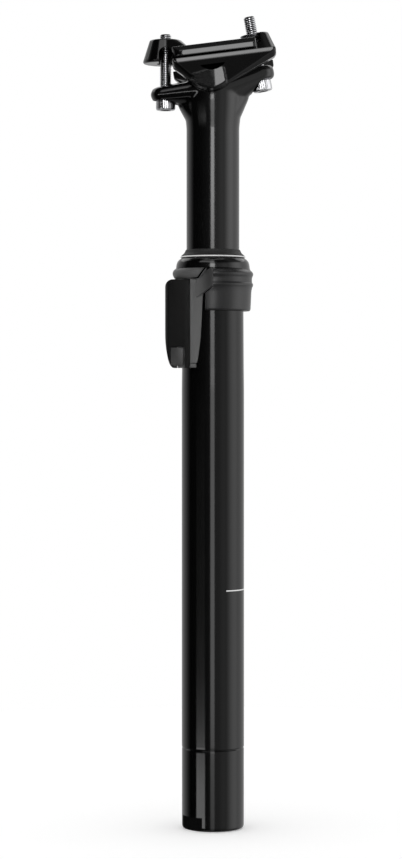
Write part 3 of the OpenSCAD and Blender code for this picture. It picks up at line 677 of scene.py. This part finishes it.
def wing_points(side):
    """A long wing of the lower clamp that carries a rail, with its thin lip and its thicker root."""
    front, rear = LOWER_FRONT, LOWER_REAR
    lip = [(front + 0.2, SPLIT_W), (front, SPLIT_W - 0.7), (front + 0.5, 1.6), (rear - 1.2, 1.6),
           (rear - 0.3, 2.1), (rear, 2.7), (rear - 0.1, SPLIT_W)]
    root = [(front, SPLIT_W), (front + 0.1, 0.5), (front + 0.8, -0.4), (rear - 3.4, -0.8), (rear - 0.9, -0.3),
            (rear, 0.8), (rear, SPLIT_W)]
    points = []
    for inset, pull, profile in ((0, 1.6, lip), (0.3, 0.6, lip), (0.8, 0.2, lip), (1.8, 0, lip),
                                 (2.6, 0.3, root), (5.0, 0, root), (CLAMP_HALF - WING_IN, 0, root)):
        y = side * (CLAMP_HALF - inset)
        points += [(u + (pull if u < 0 else -0.45 * pull), y, w) for u, w in profile]
    low, high = sorted((-14 * side, -18 * side))
    return points + disc_points(ON_SIDE, CRADLE_R - 0.3, low, high, count=72)


def scoop_cutter(side):
    """A round scoop over a lug, under the lip, that leans outwards behind the lip."""
    centre_w, radius, lip_y, lean = 4.4, 7.2, 25, 0.9
    bm = bmesh.new()
    made = prism(bm, arc(1, centre_w, radius, 222, 318, 24), 22.0, 30.0, ON_SIDE)
    for v in made:
        if v.co.y > -lip_y:
            v.co.y += (v.co.z - centre_w + radius) * lean
    if side > 0:
        bmesh.ops.transform(bm, matrix=MIRROR, verts=made)
    return finish_mesh(bm)


def lower_clamp_piece(material):
    """The cradle with its keystone lugs and the two long wings that carry the rails, each with a thin lip."""
    cradle_half = 13.6
    bm = bmesh.new()
    cross_bar(bm, cradle_half, CRADLE_R)
    cross_bar(bm, WING_IN + 1, CRADLE_R - 0.3)
    for side in (-1, 1):
        hull_of(bm, wing_points(side))
        hull_of(bm, lug_points(side))
    clamp = finish_mesh(bm, "clamp_lower", material)
    remesh(clamp, 0.28, 4)
    well = box_solid((-40, 0.5 - WING_IN, 1.5), (40, WING_IN - 0.5, 20))
    split = box_solid((-40, -40, SPLIT_W), (40, 40, 20))
    boolean(clamp, [well, split, scoop_cutter(-1), scoop_cutter(1)] + rail_cutters())
    sharpen(clamp, 34)
    clamp.data.transform(in_metres(IN_CLAMP))
    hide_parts("lower_clamp")
    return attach(clamp, "clamp")


def boss_points(centre, lean, low_r, height):
    """A boss round a nut's seat: a cone whose rims are rounded."""
    top, top_r = -1.2, 6.9
    low = top - height
    return ring_points(leaning(centre, lean), (
        (low_r - 0.7, low), (low_r - 0.2, low + 0.25), (low_r, low + 0.8),
        (top_r + 0.25, top - 0.8), (top_r, top - 0.2), (top_r - 0.5, top)), 72)


def nut_cutter(centre, lean):
    """Ball seat, bolt hole and open top for a nut."""
    ball, hole = NUT_R + FIT, NUT_HOLE_R
    seat = arc(0, 0, ball, -math.degrees(math.acos(hole / ball)), 0, 10)
    return turned([(0, -28), (hole, -28)] + seat + [(ball, 14), (0, 14)],
                  segments=128, place=leaning(centre, lean))


def upper_clamp_piece(material):
    """Two chamfered wings on a web, with a boss for each nut. The front boss is arched open under its nut."""
    low, high, corner_steps = UPPER_W, UPPER_W + 4.7, 6
    section = [(WING_IN - 0.5, low), (CLAMP_HALF, low), (CLAMP_HALF, low + 2.3), (CLAMP_HALF - 3.6, high),
               (WING_IN + 1, high), (WING_IN - 1.5, low + 3.4), (WING_IN - 1.5, low + 1)]
    bm = bmesh.new()
    for side in (-1, 1):
        points = []
        for y, w in section:
            for k in range(corner_steps + 1):
                turn = math.pi / 2 * k / corner_steps
                inset, pull = 1 - math.cos(turn), 1 - math.sin(turn)
                for x, radius in ((UPPER_FRONT + 4.2 * inset, 4.2), (UPPER_REAR - 1.3 * inset, 1.3)):
                    points.append((x, side * min(y, CLAMP_HALF - radius * pull), w))
        hull_of(bm, points)
    web_low, web_high, web_half = UPPER_W + 0.3, UPPER_W + 4.8, 6
    box_mesh(bm, (-9, -WING_IN, web_low), (13, WING_IN, UPPER_W + 3.3))
    box_mesh(bm, (-9, -web_half, web_low), (11, web_half, web_high))
    for centre, lean, low_r, height, x in (
            (FRONT_UW, FRONT_LEAN, 9.9, 10.3, -9), (REAR_UW, REAR_LEAN, 9.1, 8.6, 9)):
        web = [(x + a, b, c) for a in (0, 2) for b in (-web_half, web_half) for c in (web_low, web_high)]
        hull_of(bm, boss_points(centre, lean, low_r, height) + web)
    clamp = finish_mesh(bm, "clamp_upper", material)
    remesh(clamp, 0.3, 5)
    boss_front = box_solid((REAR_UW.x - 12, -12, UPPER_W + 4.4), (REAR_UW.x + 3.2, 12, UPPER_W + 12))
    notch = bmesh.new()
    prism(notch, [(-2.9, -30), (2.9, -30)] + arc(0, -7.8, 2.9, 0, 180, 12), 0, 28,
          leaning(FRONT_UW, FRONT_LEAN) @ ON_SIDE)
    boolean(clamp, [nut_cutter(FRONT_UW, FRONT_LEAN), nut_cutter(REAR_UW, REAR_LEAN), boss_front,
                    finish_mesh(notch)] + rail_cutters())
    sharpen(clamp, 34)
    clamp.data.transform(in_metres(IN_CLAMP))
    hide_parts("upper_clamp")
    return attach(clamp, "clamp")


# Bolts, washers and nuts, modelled along Z from their ball seat's centre
def threaded_shank(bm, low, high, around=40, per_turn=10):
    """A rod with a real helical thread, its tip turned down to a small chamfer."""
    depth, crest_level, flank, tip, tip_drop = 0.44, 1.7, 4.2, 0.6, 0.55
    rows = int((high - low) / PITCH * per_turn)
    rings = []
    for i in range(rows + 1):
        z = low + (high - low) * i / rows
        radii = []
        for k in range(around):
            phase = (z / PITCH - k / around) % 1.0
            crest = min(1.0, max(0.0, crest_level - abs(phase - 0.5) * flank))
            r = BOLT_R - depth * (1.0 - crest)
            radii.append(min(r, BOLT_R - tip_drop + high - z) if high - z < tip else r)
        rings.append(ring(bm, radii, z))
    for a, b in zip(rings, rings[1:]):
        skin(bm, a, b)
    bm.faces.new(rings[0][::-1])
    bm.faces.new(rings[-1])


def bolt_head(bm):
    """A socket head: knurled side, chamfered rims and a hexagonal socket."""
    low, high, around = HEAD_TOP - HEAD_H, HEAD_TOP, 144
    socket_r, depth, knurl = 2.31, 2.5, 0.13
    profile = [(HEAD_R - 0.75, low), (HEAD_R - 0.3, low + 0.12), (HEAD_R - 0.06, low + 0.45),
               (HEAD_R, low + 0.8), (HEAD_R, high - 0.7), (HEAD_R - 0.05, high - 0.5), (HEAD_R - 0.25, high)]
    rings = [ring(bm, [r - knurl if r == HEAD_R and k % 4 == 0 else r for k in range(around)], z)
             for r, z in profile]
    for a, b in zip(rings, rings[1:]):
        skin(bm, a, b)
    bm.faces.new(rings[-1])
    sixth = math.pi / 3
    angles = [2 * math.pi * k / around for k in range(around)]
    hexagon = [math.cos(sixth / 2) / math.cos(a % sixth - sixth / 2) for a in angles]
    mouth, lip, floor = [ring(bm, [radius * h for h in hexagon], z) for radius, z in (
        (socket_r + 0.2, low), (socket_r, low + 0.2), (socket_r, low + depth))]
    for a, b in ((rings[0], mouth), (mouth, lip), (lip, floor)):
        skin(bm, b, a)
    tip = bm.verts.new((0, 0, low + depth + 0.7))
    for k in range(around):
        bm.faces.new((floor[k], tip, floor[(k + 1) % around]))


def bolt_pieces(side, place, nut, steel_material, dark_material):
    """A clamp bolt, its ball washer and its round nut."""
    inner = BOLT_R + 0.2
    bm = bmesh.new()
    bolt_head(bm)
    threaded_shank(bm, HEAD_TOP - 0.3, HEAD_TOP + BOLT_LEN)
    # The thread roots get painted shade
    bolt = finish_mesh(bm, side + "_screw", painted_groove_shade(steel_material, place, BOLT_R - 0.34, BOLT_R - 0.1), 40)
    bolt.data.transform(in_metres(place))
    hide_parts(side + "_bolt")
    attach(bolt, side + "_bolt")
    # The washer's top is part of the ball that seats in the arm
    rim = 4.4
    profile = [(inner, HEAD_TOP), (rim - 0.15, HEAD_TOP), (rim, HEAD_TOP + 0.12),
               (rim, math.sqrt(BALL_R ** 2 - rim ** 2))]
    profile += [(BALL_R * math.sin(a), BALL_R * math.cos(a))
                for a in np.linspace(math.asin(rim / BALL_R), math.asin(inner / BALL_R), 8)]
    washer = turned(profile, side + "_ball_washer", dark_material, 30, segments=96, closed=True)
    washer.data.transform(in_metres(place))
    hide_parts(side + "_washer")
    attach(washer, side + "_bolt")
    # The nut is a ball with flat ends that keeps only what its seat holds
    low, high = -4.8, -1.2
    profile = [(inner, low), (math.sqrt(NUT_R ** 2 - low ** 2), low)]
    profile += [(NUT_R * math.cos(a), NUT_R * math.sin(a))
                for a in np.linspace(-math.acos(3.1 / NUT_R), math.asin(high / NUT_R), 10)
                if NUT_R * math.sin(a) >= low]
    profile += [(BOLT_R + 0.5, high), (inner, high - 0.3)]
    piece = turned(profile, side + "_ball_nut", dark_material, 30, segments=96, closed=True)
    piece.data.transform(in_metres(place @ Matrix.Translation((0, 0, (nut - place.translation).length))))
    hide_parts(side + "_nut")
    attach(piece, side + "_nut")


# Battery module on the collar
BUTTON_X, BUTTON_Z, LENS_Z = -7.2, COLLAR_Z + 3, COLLAR_Z - 4
LATCH_X = (-18.6, -12.3)


def on_far_side(depth, z):
    """A frame at that depth below the module's far wall, with Z outwards."""
    return Matrix.Translation((BUTTON_X, HOUSING_HALF - depth, z)) @ Matrix.Rotation(-math.pi / 2, 4, "X")


def battery_piece(material):
    """The slide-off battery: a bowed front, chamfered corners and a crown that rounds over into the top."""
    x, z, half = FRONT_X, BATTERY_Z, BATTERY_HALF
    back, crown = SEAM_X + 3, 3.3
    corner = [(back, half + 0.1), (SEAM_X - 0.3, half), (SEAM_X - 2.5, half - 0.12), (x + 2.5, 10.25),
              (x + 1.2, 9.6), (x + 0.5, 8.6), (x + 0.12, 7.2), (x, 5.6), (x, 0.0)]
    bm = bmesh.new()
    prism(bm, [(a, -b) for a, b in corner] + corner[-2::-1], z, BATTERY_TOP)
    body = finish_mesh(bm, "battery", material)
    side = [(back, z), (x + 3.8, z), (x + 3.1, z + 0.15), (x + 2.5, z + 0.75), (x + 1.95, z + 1.7),
            (x + 1.35, z + 3.4), (x + 0.9, z + 5.6), (x + 0.5, z + 8), (x + 0.2, z + 10.5), (x + 0.04, z + 13),
            (x, z + 16)] + arc(x + crown, BATTERY_TOP - crown, crown, 180, 90, 10) + [(back, BATTERY_TOP)]
    boolean(body, [side_solid(side, 20)], "INTERSECT")
    bevel(body, 1.3, 5)
    shelf = SHELF_HALF + 0.3
    cutters = [box_solid((SEAM_X, -20, z - 1), (5, 20, BATTERY_TOP + 1)),
               box_solid((SHELF_X - 0.3, -shelf, z - 1), (5, shelf, BATTERY_TOP + 1))]
    # Pockets for the latch's pads
    cutters += box_pair((LATCH_X[0], SHELF_HALF, z - 5), (LATCH_X[1], half + 3, z + 9.1))
    boolean(body, cutters)
    bevel(body, 0.15)
    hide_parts("battery_case")
    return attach(body, "battery")


def latch_piece(material):
    """The thumb latch: a pad on each side, dished for the thumb, joined under the battery."""
    outline = [(-18.25, 10.35), (-16.2, 11.35), (-13.4, 11.6), (-12.65, 11.55), (-12.65, 10.0), (-18.25, 10.0)]
    bm = bmesh.new()
    for place in (MIRROR, None):
        prism(bm, outline, BATTERY_Z + 1.0, BATTERY_Z + 8.7, place)
    box_mesh(bm, (-17.1, -11.1, BATTERY_Z + 0.5), (-15.6, 11.1, BATTERY_Z + 2.5))
    latch = finish_mesh(bm, "latch", material)
    bevel(latch, 0.35, 3, 24)
    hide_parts("battery_latch")
    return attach(latch, "latch")


def flare_points(side):
    """Corner points of one side's ramp from the housing's wall out to the collar's ring."""
    top, y0 = COLLAR_Z + 18.4, HOUSING_HALF
    stations = (
        ((-8.0, -6.5), (y0 - 0.8, y0), (BATTERY_TOP - 8, BATTERY_TOP)),
        ((-3.7, -3.2), (y0 - 0.3, y0 + 1.3), (top - 2.4, top - 1.4)),
        ((-1.8, -1.4), (y0 - 0.3, y0 + 2.5), (top - 6.4, top - 0.7)),
        ((-0.5, 0.0), (y0 - 0.3, RING_R - 0.35), (top - 8.0, top - 0.2)))
    return [Vector((x, side * y, z)) for xs, ys, zs in stations for x in xs for y in ys for z in zs]


def fairing_and_flares(material, top):
    """The fairing over the battery and the flares into the collar, with the parting groove cut across."""
    r = RING_R
    fairing = turned(rounded_profile([
        (TUBE_R, top - 0.2), (r - 1.8, top - 0.2, 0.3), (r - 0.75, top + 0.6, 0.5), (r - 0.12, top + 1.9, 0.6),
        (r, top + 2.8, 0.6), (r - 0.35, top + 3.9, 0.6), (r - 1.2, top + 4.65, 0.3), (TUBE_R, top + 4.7),
        (TUBE_R, top - 0.2)]), "fairing", material, closed=True, segments=256)
    front = [(-30, top - 1), (-6.4, top - 1), (-6.4, top - 0.2), (-4.7, top + 1.5), (-3.1, top + 3.5),
             (-2.6, top + 5), (-30, top + 5)]
    boolean(fairing, [side_solid(front, 30)], "INTERSECT")
    bevel(fairing, 0.22)
    pieces = [fairing]
    for side in (-1, 1):
        bm = bmesh.new()
        hull_of(bm, flare_points(side))
        pieces.append(finish_mesh(bm, "flare", material))
    # The groove runs down from the fairing's corner to the battery's hook
    groove = [(-3.16, top + 5.5), (-6.85, top + 0.6), (-9.7, top + 0.3), (-9.7, top - 0.3), (-6.3, top),
              (-2.64, top + 5.1)]
    for piece in pieces:
        boolean(piece, [side_solid(groove, 30)])
    return pieces


def housing_piece(material):
    """The fixed housing, narrower below, with the fairing and flares joined on, and its cover."""
    z, top, bore = BATTERY_Z, BATTERY_TOP + 0.2, TUBE_R - 0.1
    walls = box_solid((SEAM_X + 0.15, -HOUSING_HALF, z), (HOUSING_BACK, HOUSING_HALF, top), "housing", material)
    bevel(walls, 0.45, 3, 30)
    boolean(walls, [box_solid((SHELF_X, -SHELF_HALF, z), (SEAM_X + 0.4, SHELF_HALF, top))], "UNION")
    side = [(SHELF_X - 1, z + 2.1), (-7.0, z + 2.1), (-6.5, z + 4.0), (-6.15, z + 6.5), (-5.75, z + 9.5),
            (-5.35, z + 13), (-4.95, z + 20), (-4.6, z + 28), (-4.2, z + 33), (HOUSING_BACK, z + 37),
            (HOUSING_BACK, top), (SHELF_X - 1, top)]
    boolean(walls, [side_solid(side, 20)], "INTERSECT")
    boolean(walls, fairing_and_flares(material, top), "UNION")
    cutters = [
        turned(cylinder(bore, z - 1, COLLAR_Z + 13), segments=160),
        turned(cylinder(TUBE_R + 0.55, COLLAR_Z + 12, COLLAR_Z + 33), segments=160),
        box_solid((SHELF_X + 0.6, -7, z + 4), (SHELF_X + 6.6, 7, BATTERY_TOP - 1))]
    # Notches for the battery's hook
    cutters += box_pair((-9.9, HOUSING_HALF - 0.6, top - 1.8), (-6.9, HOUSING_HALF + 3, top - 0.3))
    for radius, height, depth in ((2.5, BUTTON_Z, 4.5), (1.25, LENS_Z, 1.0)):
        cutters.append(turned(cylinder(radius, 0, 10), segments=64, place=on_far_side(depth, height)))
    # Holes for the contact pins
    cutters += [turned(cylinder(0.75, 0, 3), segments=32, place=leaning((SHELF_X - 1, y, z + 8), math.pi / 2))
                for y in (-4, 0, 4)]
    boolean(walls, cutters)
    sharpen(walls, 30)
    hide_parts("module_housing")
    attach(walls, "lower_body")
    half, high = HOUSING_HALF - 0.3, z + 1.9
    cover = box_solid((SEAM_X + 0.15, -half, z), (-7.2, half, high), "cover", material)
    bevel(cover, 0.3, 3, 30)
    boolean(cover, [box_solid((SHELF_X, -SHELF_HALF, z), (-7.3, SHELF_HALF, high))], "UNION")
    boolean(cover, [turned(cylinder(bore, z - 1, z + 5), segments=160)])
    sharpen(cover, 30)
    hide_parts("housing_cover")
    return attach(cover, "lower_body")


def button_pieces(button_material, lens_material):
    """The dished pairing button and the domed status lens, on the side away from the camera."""
    height, proud = 1.6, 0.5
    button = turned(rounded_profile([
        (0, 0), (2.4, 0), (2.4, height, 0.25), (2.0, height, 0.1), (1.7, 1.42, 0.2), (0, 1.3)]),
        "button", button_material, segments=96, place=on_far_side(height - proud, BUTTON_Z))
    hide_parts("pairing_button")
    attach(button, "pairing_button")
    lens = turned([(0, 0), (1.2, 0), (1.2, 0.85), (1.05, 0.97), (0.6, 1.04), (0, 1.05)],
                  "lens", lens_material, segments=64, place=on_far_side(1.0, LENS_Z))
    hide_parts("status_lens")
    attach(lens, "lower_body")


# Floor, light and world
def add_floor():
    """A pale studio floor, a touch uneven, that reads as white to the camera and keeps a soft shadow."""
    s = Shader("floor_paper")
    rays = s.add("ShaderNodeLightPath").outputs
    direct = s.math("MAXIMUM", rays["Is Camera Ray"], rays["Is Transmission Ray"])
    s.set(
        Base_Color=s.mix(s.noise(9.0, 3.0, 0.5), grey(0.90), grey(0.94)),
        Roughness=0.9,
        Specular_IOR_Level=0.1,
        Normal=s.bump(s.noise(700.0, 3.0), 0.00005, 0.2),
        Emission_Color=grey(1.0),
        Emission_Strength=s.math("MULTIPLY", direct, 0.22),
    )
    bm = bmesh.new()
    bmesh.ops.create_circle(bm, cap_ends=True, segments=96, radius=420)
    bmesh.ops.translate(bm, vec=(0, 0, -0.05), verts=bm.verts[:])
    floor = finish_mesh(bm, "floor", s.material)
    floor.visible_glossy = False


# Half the brightness of the room's walls, by azimuth in degrees from the camera's side, positive to the rear
WALL = [
    (-180, 0.30), (-138, 0.33), (-118, 0.26), (-103, 0.09), (-93, 0.0), (-52, 0.008), (-30, 0.03), (-14, 0.07),
    (0, 0.20), (13, 0.20), (22, 0.21), (31, 0.28), (40, 0.32), (50, 0.29), (59, 0.50), (69, 0.80), (80, 0.95),
    (91, 0.87), (104, 0.58), (120, 0.46), (134, 0.40), (180, 0.30)]
# Lamps: the azimuths of their edges, and their strengths low and high up
STRIP = (-9.4, 5.4, 2.6, 6.0)
LOW_BOX = (-64.0, -30.0, 4.0, 0.1)
# Bars: those azimuths, the strength, and the heights where they fade in and out. One runs round the back.
HIGH_BAR = (-50, 4, 1.7, (0.5, 0.58, 0.8, 0.88))
LOW_BAR = (-60, 6, 0.9, (-0.87, -0.84, -0.79, -0.76))
BACK_BAR = (115, 1.3, (0.4, 0.46, 0.7, 0.78))
# The light that falls on the object
DIFFUSE_LEVEL = 0.9


def wall_levels(w, azimuth):
    """The room's walls: a ramp by azimuth."""
    turn = w.math("ADD", w.math("DIVIDE", azimuth, 2 * math.pi), 0.5)
    ramp = w.add("ShaderNodeValToRGB", {0: turn})
    stops = ramp.color_ramp.elements
    stops.remove(stops[0])
    stops[0].position, stops[0].color = 0.0, grey(WALL[0][1])
    for angle, level in WALL[1:]:
        stops.new((angle + 180) / 360).color = grey(level)
    return w.math("MULTIPLY", ramp.outputs["Color"], 2.0)


def reflected_room(w):
    """What the object reflects, by azimuth and by height: the sine of the angle above the horizon."""
    x, y, height = w.add("ShaderNodeSeparateXYZ", {0: w.add("ShaderNodeTexCoord").outputs["Generated"]}).outputs
    azimuth = w.math("ARCTAN2", x, w.math("MULTIPLY", y, -1.0))

    def times(*factors):
        result = factors[0]
        for factor in factors[1:]:
            result = w.math("MULTIPLY", result, factor)
        return result

    def between(low, high, level):
        return times(w.math("GREATER_THAN", azimuth, math.radians(low)),
                     w.math("LESS_THAN", azimuth, math.radians(high)), level)

    def band(low, low_full, high_full, high):
        return times(w.ease(height, low, low_full, 0.0, 1.0), w.ease(height, high_full, high, 1.0, 0.0))

    # The strip light by the camera, brightest above its height and faint below the foot cap's top
    strip = times(w.ease(height, 0.02, 0.05, STRIP[2], STRIP[3]), w.ease(height, -0.142, -0.138, 0.4, 1.0),
                  w.math("LESS_THAN", height, 0.9))
    # A low softbox to its left, which only the lower tube and the cap catch
    low_box = times(w.ease(height, -0.1425, -0.1405, LOW_BOX[2], LOW_BOX[3]),
                    w.ease(height, -0.04, 0.0, 1.0, 0.0), w.math("GREATER_THAN", height, -0.27))
    room = wall_levels(w, azimuth)
    room = w.math("ADD", room, between(STRIP[0], STRIP[1], strip))
    room = w.math("ADD", room, between(LOW_BOX[0], LOW_BOX[1], low_box))
    # The walls end at about 30 degrees up. Above it is dim, with a small lamp, and the floor gives little light.
    room = times(room, w.ease(height, 0.35, 0.6, 1.0, 0.12))
    room = w.math("ADD", room, w.ease(height, 0.93, 0.98, 0.0, 1.6))
    room = times(room, w.ease(height, -0.75, -0.2, 0.3, 1.0))
    # The low bar draws the lower edges, and the one behind the upper ones
    for low, high, level, heights in (HIGH_BAR, LOW_BAR):
        room = w.math("ADD", room, times(between(low, high, band(*heights)), level))
    start, level, heights = BACK_BAR
    behind = w.math("GREATER_THAN", w.math("ABSOLUTE", azimuth), math.radians(start))
    return w.math("ADD", room, times(behind, level, band(*heights)))


def add_world():
    """A white room to the camera and an even one to diffuse light, with walls and lamps only in reflections."""
    world = bpy.data.worlds.new("studio")
    bpy.context.scene.world = world
    world.use_nodes = True
    w = Nodes(world.node_tree)
    w.nodes.clear()
    rays = w.add("ShaderNodeLightPath").outputs

    def background(strength):
        return w.add("ShaderNodeBackground", {"Color": grey(1.0), "Strength": strength}).outputs[0]

    def choose(factor, first, second):
        return w.add("ShaderNodeMixShader", {0: factor, 1: first, 2: second}).outputs[0]

    lit = choose(rays["Is Glossy Ray"], background(DIFFUSE_LEVEL), background(reflected_room(w)))
    direct = w.math("MAXIMUM", rays["Is Camera Ray"], rays["Is Transmission Ray"])
    w.add("ShaderNodeOutputWorld", {"Surface": choose(direct, lit, background(1.0))})


# Finishes
ANODISED = anodised("black_anodised", 0.0014, 0.12, 0.5, 2400.0)
SATIN = with_line(anodised("satin_anodised", 0.0014, 0.10, 0.34, 2000.0))
CAP = anodised("cap_anodised", 0.0014, 0.10, 0.34, 2000.0)
SKIRT = anodised("collar_anodised", 0.008, 0.34, 0.5, 2000.0)
for shader_input, scale in (("Roughness", 0.35), ("Base Color", 0.2)):
    graded(SKIRT, shader_input, "Z", SHOULDER_Z, SHOULDER_Z + 1, scale)
SHELL = moulded("battery_shell", (0.0045,) * 3, 0.5, 0.14)
# Painted shade: the housing's colour darkens to a quarter from X -7 to -1 mm, towards its back where it meets the
# tube
HOUSING = graded(moulded("housing_shell", (0.078,) * 3, 0.45, 0.4), "Base Color", "X", -7.0, -1.0, 0.25)
LATCH = moulded("latch_plastic", (0.035,) * 3, 0.45, 0.4)
BUTTON = moulded("button_plastic", (0.03,) * 3, 0.35, 0.5)
LENS = moulded("lens_plastic", (0.10, 0.35, 0.60), 0.12, 0.6)
STEEL, FRONT_SCREW, REAR_SCREW = [
    steel(name, (0.72, 0.72, 0.74), 0.22) for name in ("bright_steel", "front_bolt_steel", "rear_bolt_steel")]
DARK_STEEL = steel("ground_steel", (0.42, 0.42, 0.44), 0.28)
CHROME = steel("hard_chrome", (0.78, 0.78, 0.80), 0.10)
BRASS = steel("turned_brass", (0.72, 0.52, 0.24), 0.30)
GOLD = steel("gold_contacts", (0.86, 0.62, 0.26), 0.18)
ALLOY = steel("turned_alloy", (0.60, 0.60, 0.62), 0.34)
POLYMER = moulded("bushing_polymer", (0.30, 0.24, 0.10), 0.50, 0.3)
BOARD = moulded("board_green", (0.012, 0.11, 0.04), 0.35, 0.5)
RIBBON = moulded("ribbon_amber", (0.36, 0.15, 0.02), 0.30, 0.5)
RUBBER = rubber("wiper_rubber", 0.012, 0.6)
BUMPER = rubber("bumper_rubber", 0.02, 0.7)
PALE = moulded("pale_ring", (0.75,) * 3, 0.35, 0.5)
INNER = {
    "foot_seal": RUBBER, "upper_bushing": POLYMER, "top_out_bumper": BUMPER, "circuit_board": BOARD,
    "contact_pins": GOLD, "battery_contacts": GOLD, "valve_motor": ALLOY, "drive_plunger": STEEL,
    "valve_rod": BRASS, "cartridge_rod": CHROME, "cartridge_piston": BRASS, "power_ribbon": RIBBON,
    "guide_keys": BRASS, "lower_bushing": POLYMER, "gas_cylinder": ALLOY, "cylinder_seal_head": ALLOY,
    "fill_valve": BRASS}
for node_name, node_object in frame["nodes"].items():
    node_object.data.materials.clear()
    node_object.data.materials.append(INNER.get(node_name, ANODISED))

lower_tube_piece(SATIN)
foot_cap_piece(CAP)
collar_piece(SKIRT)
wiper_pieces(PALE, RUBBER)
housing_piece(HOUSING)
battery_piece(SHELL)
latch_piece(LATCH)
button_pieces(BUTTON, LENS)
upper_post_pieces(ANODISED)
lower_clamp_piece(ANODISED)
upper_clamp_piece(ANODISED)
bolt_pieces("front", ON_FRONT, FRONT_NUT, FRONT_SCREW, DARK_STEEL)
bolt_pieces("rear", ON_REAR, REAR_NUT, REAR_SCREW, DARK_STEEL)

add_camera()
add_world()
add_floor()
bpy.context.scene.view_settings.view_transform = "Standard"
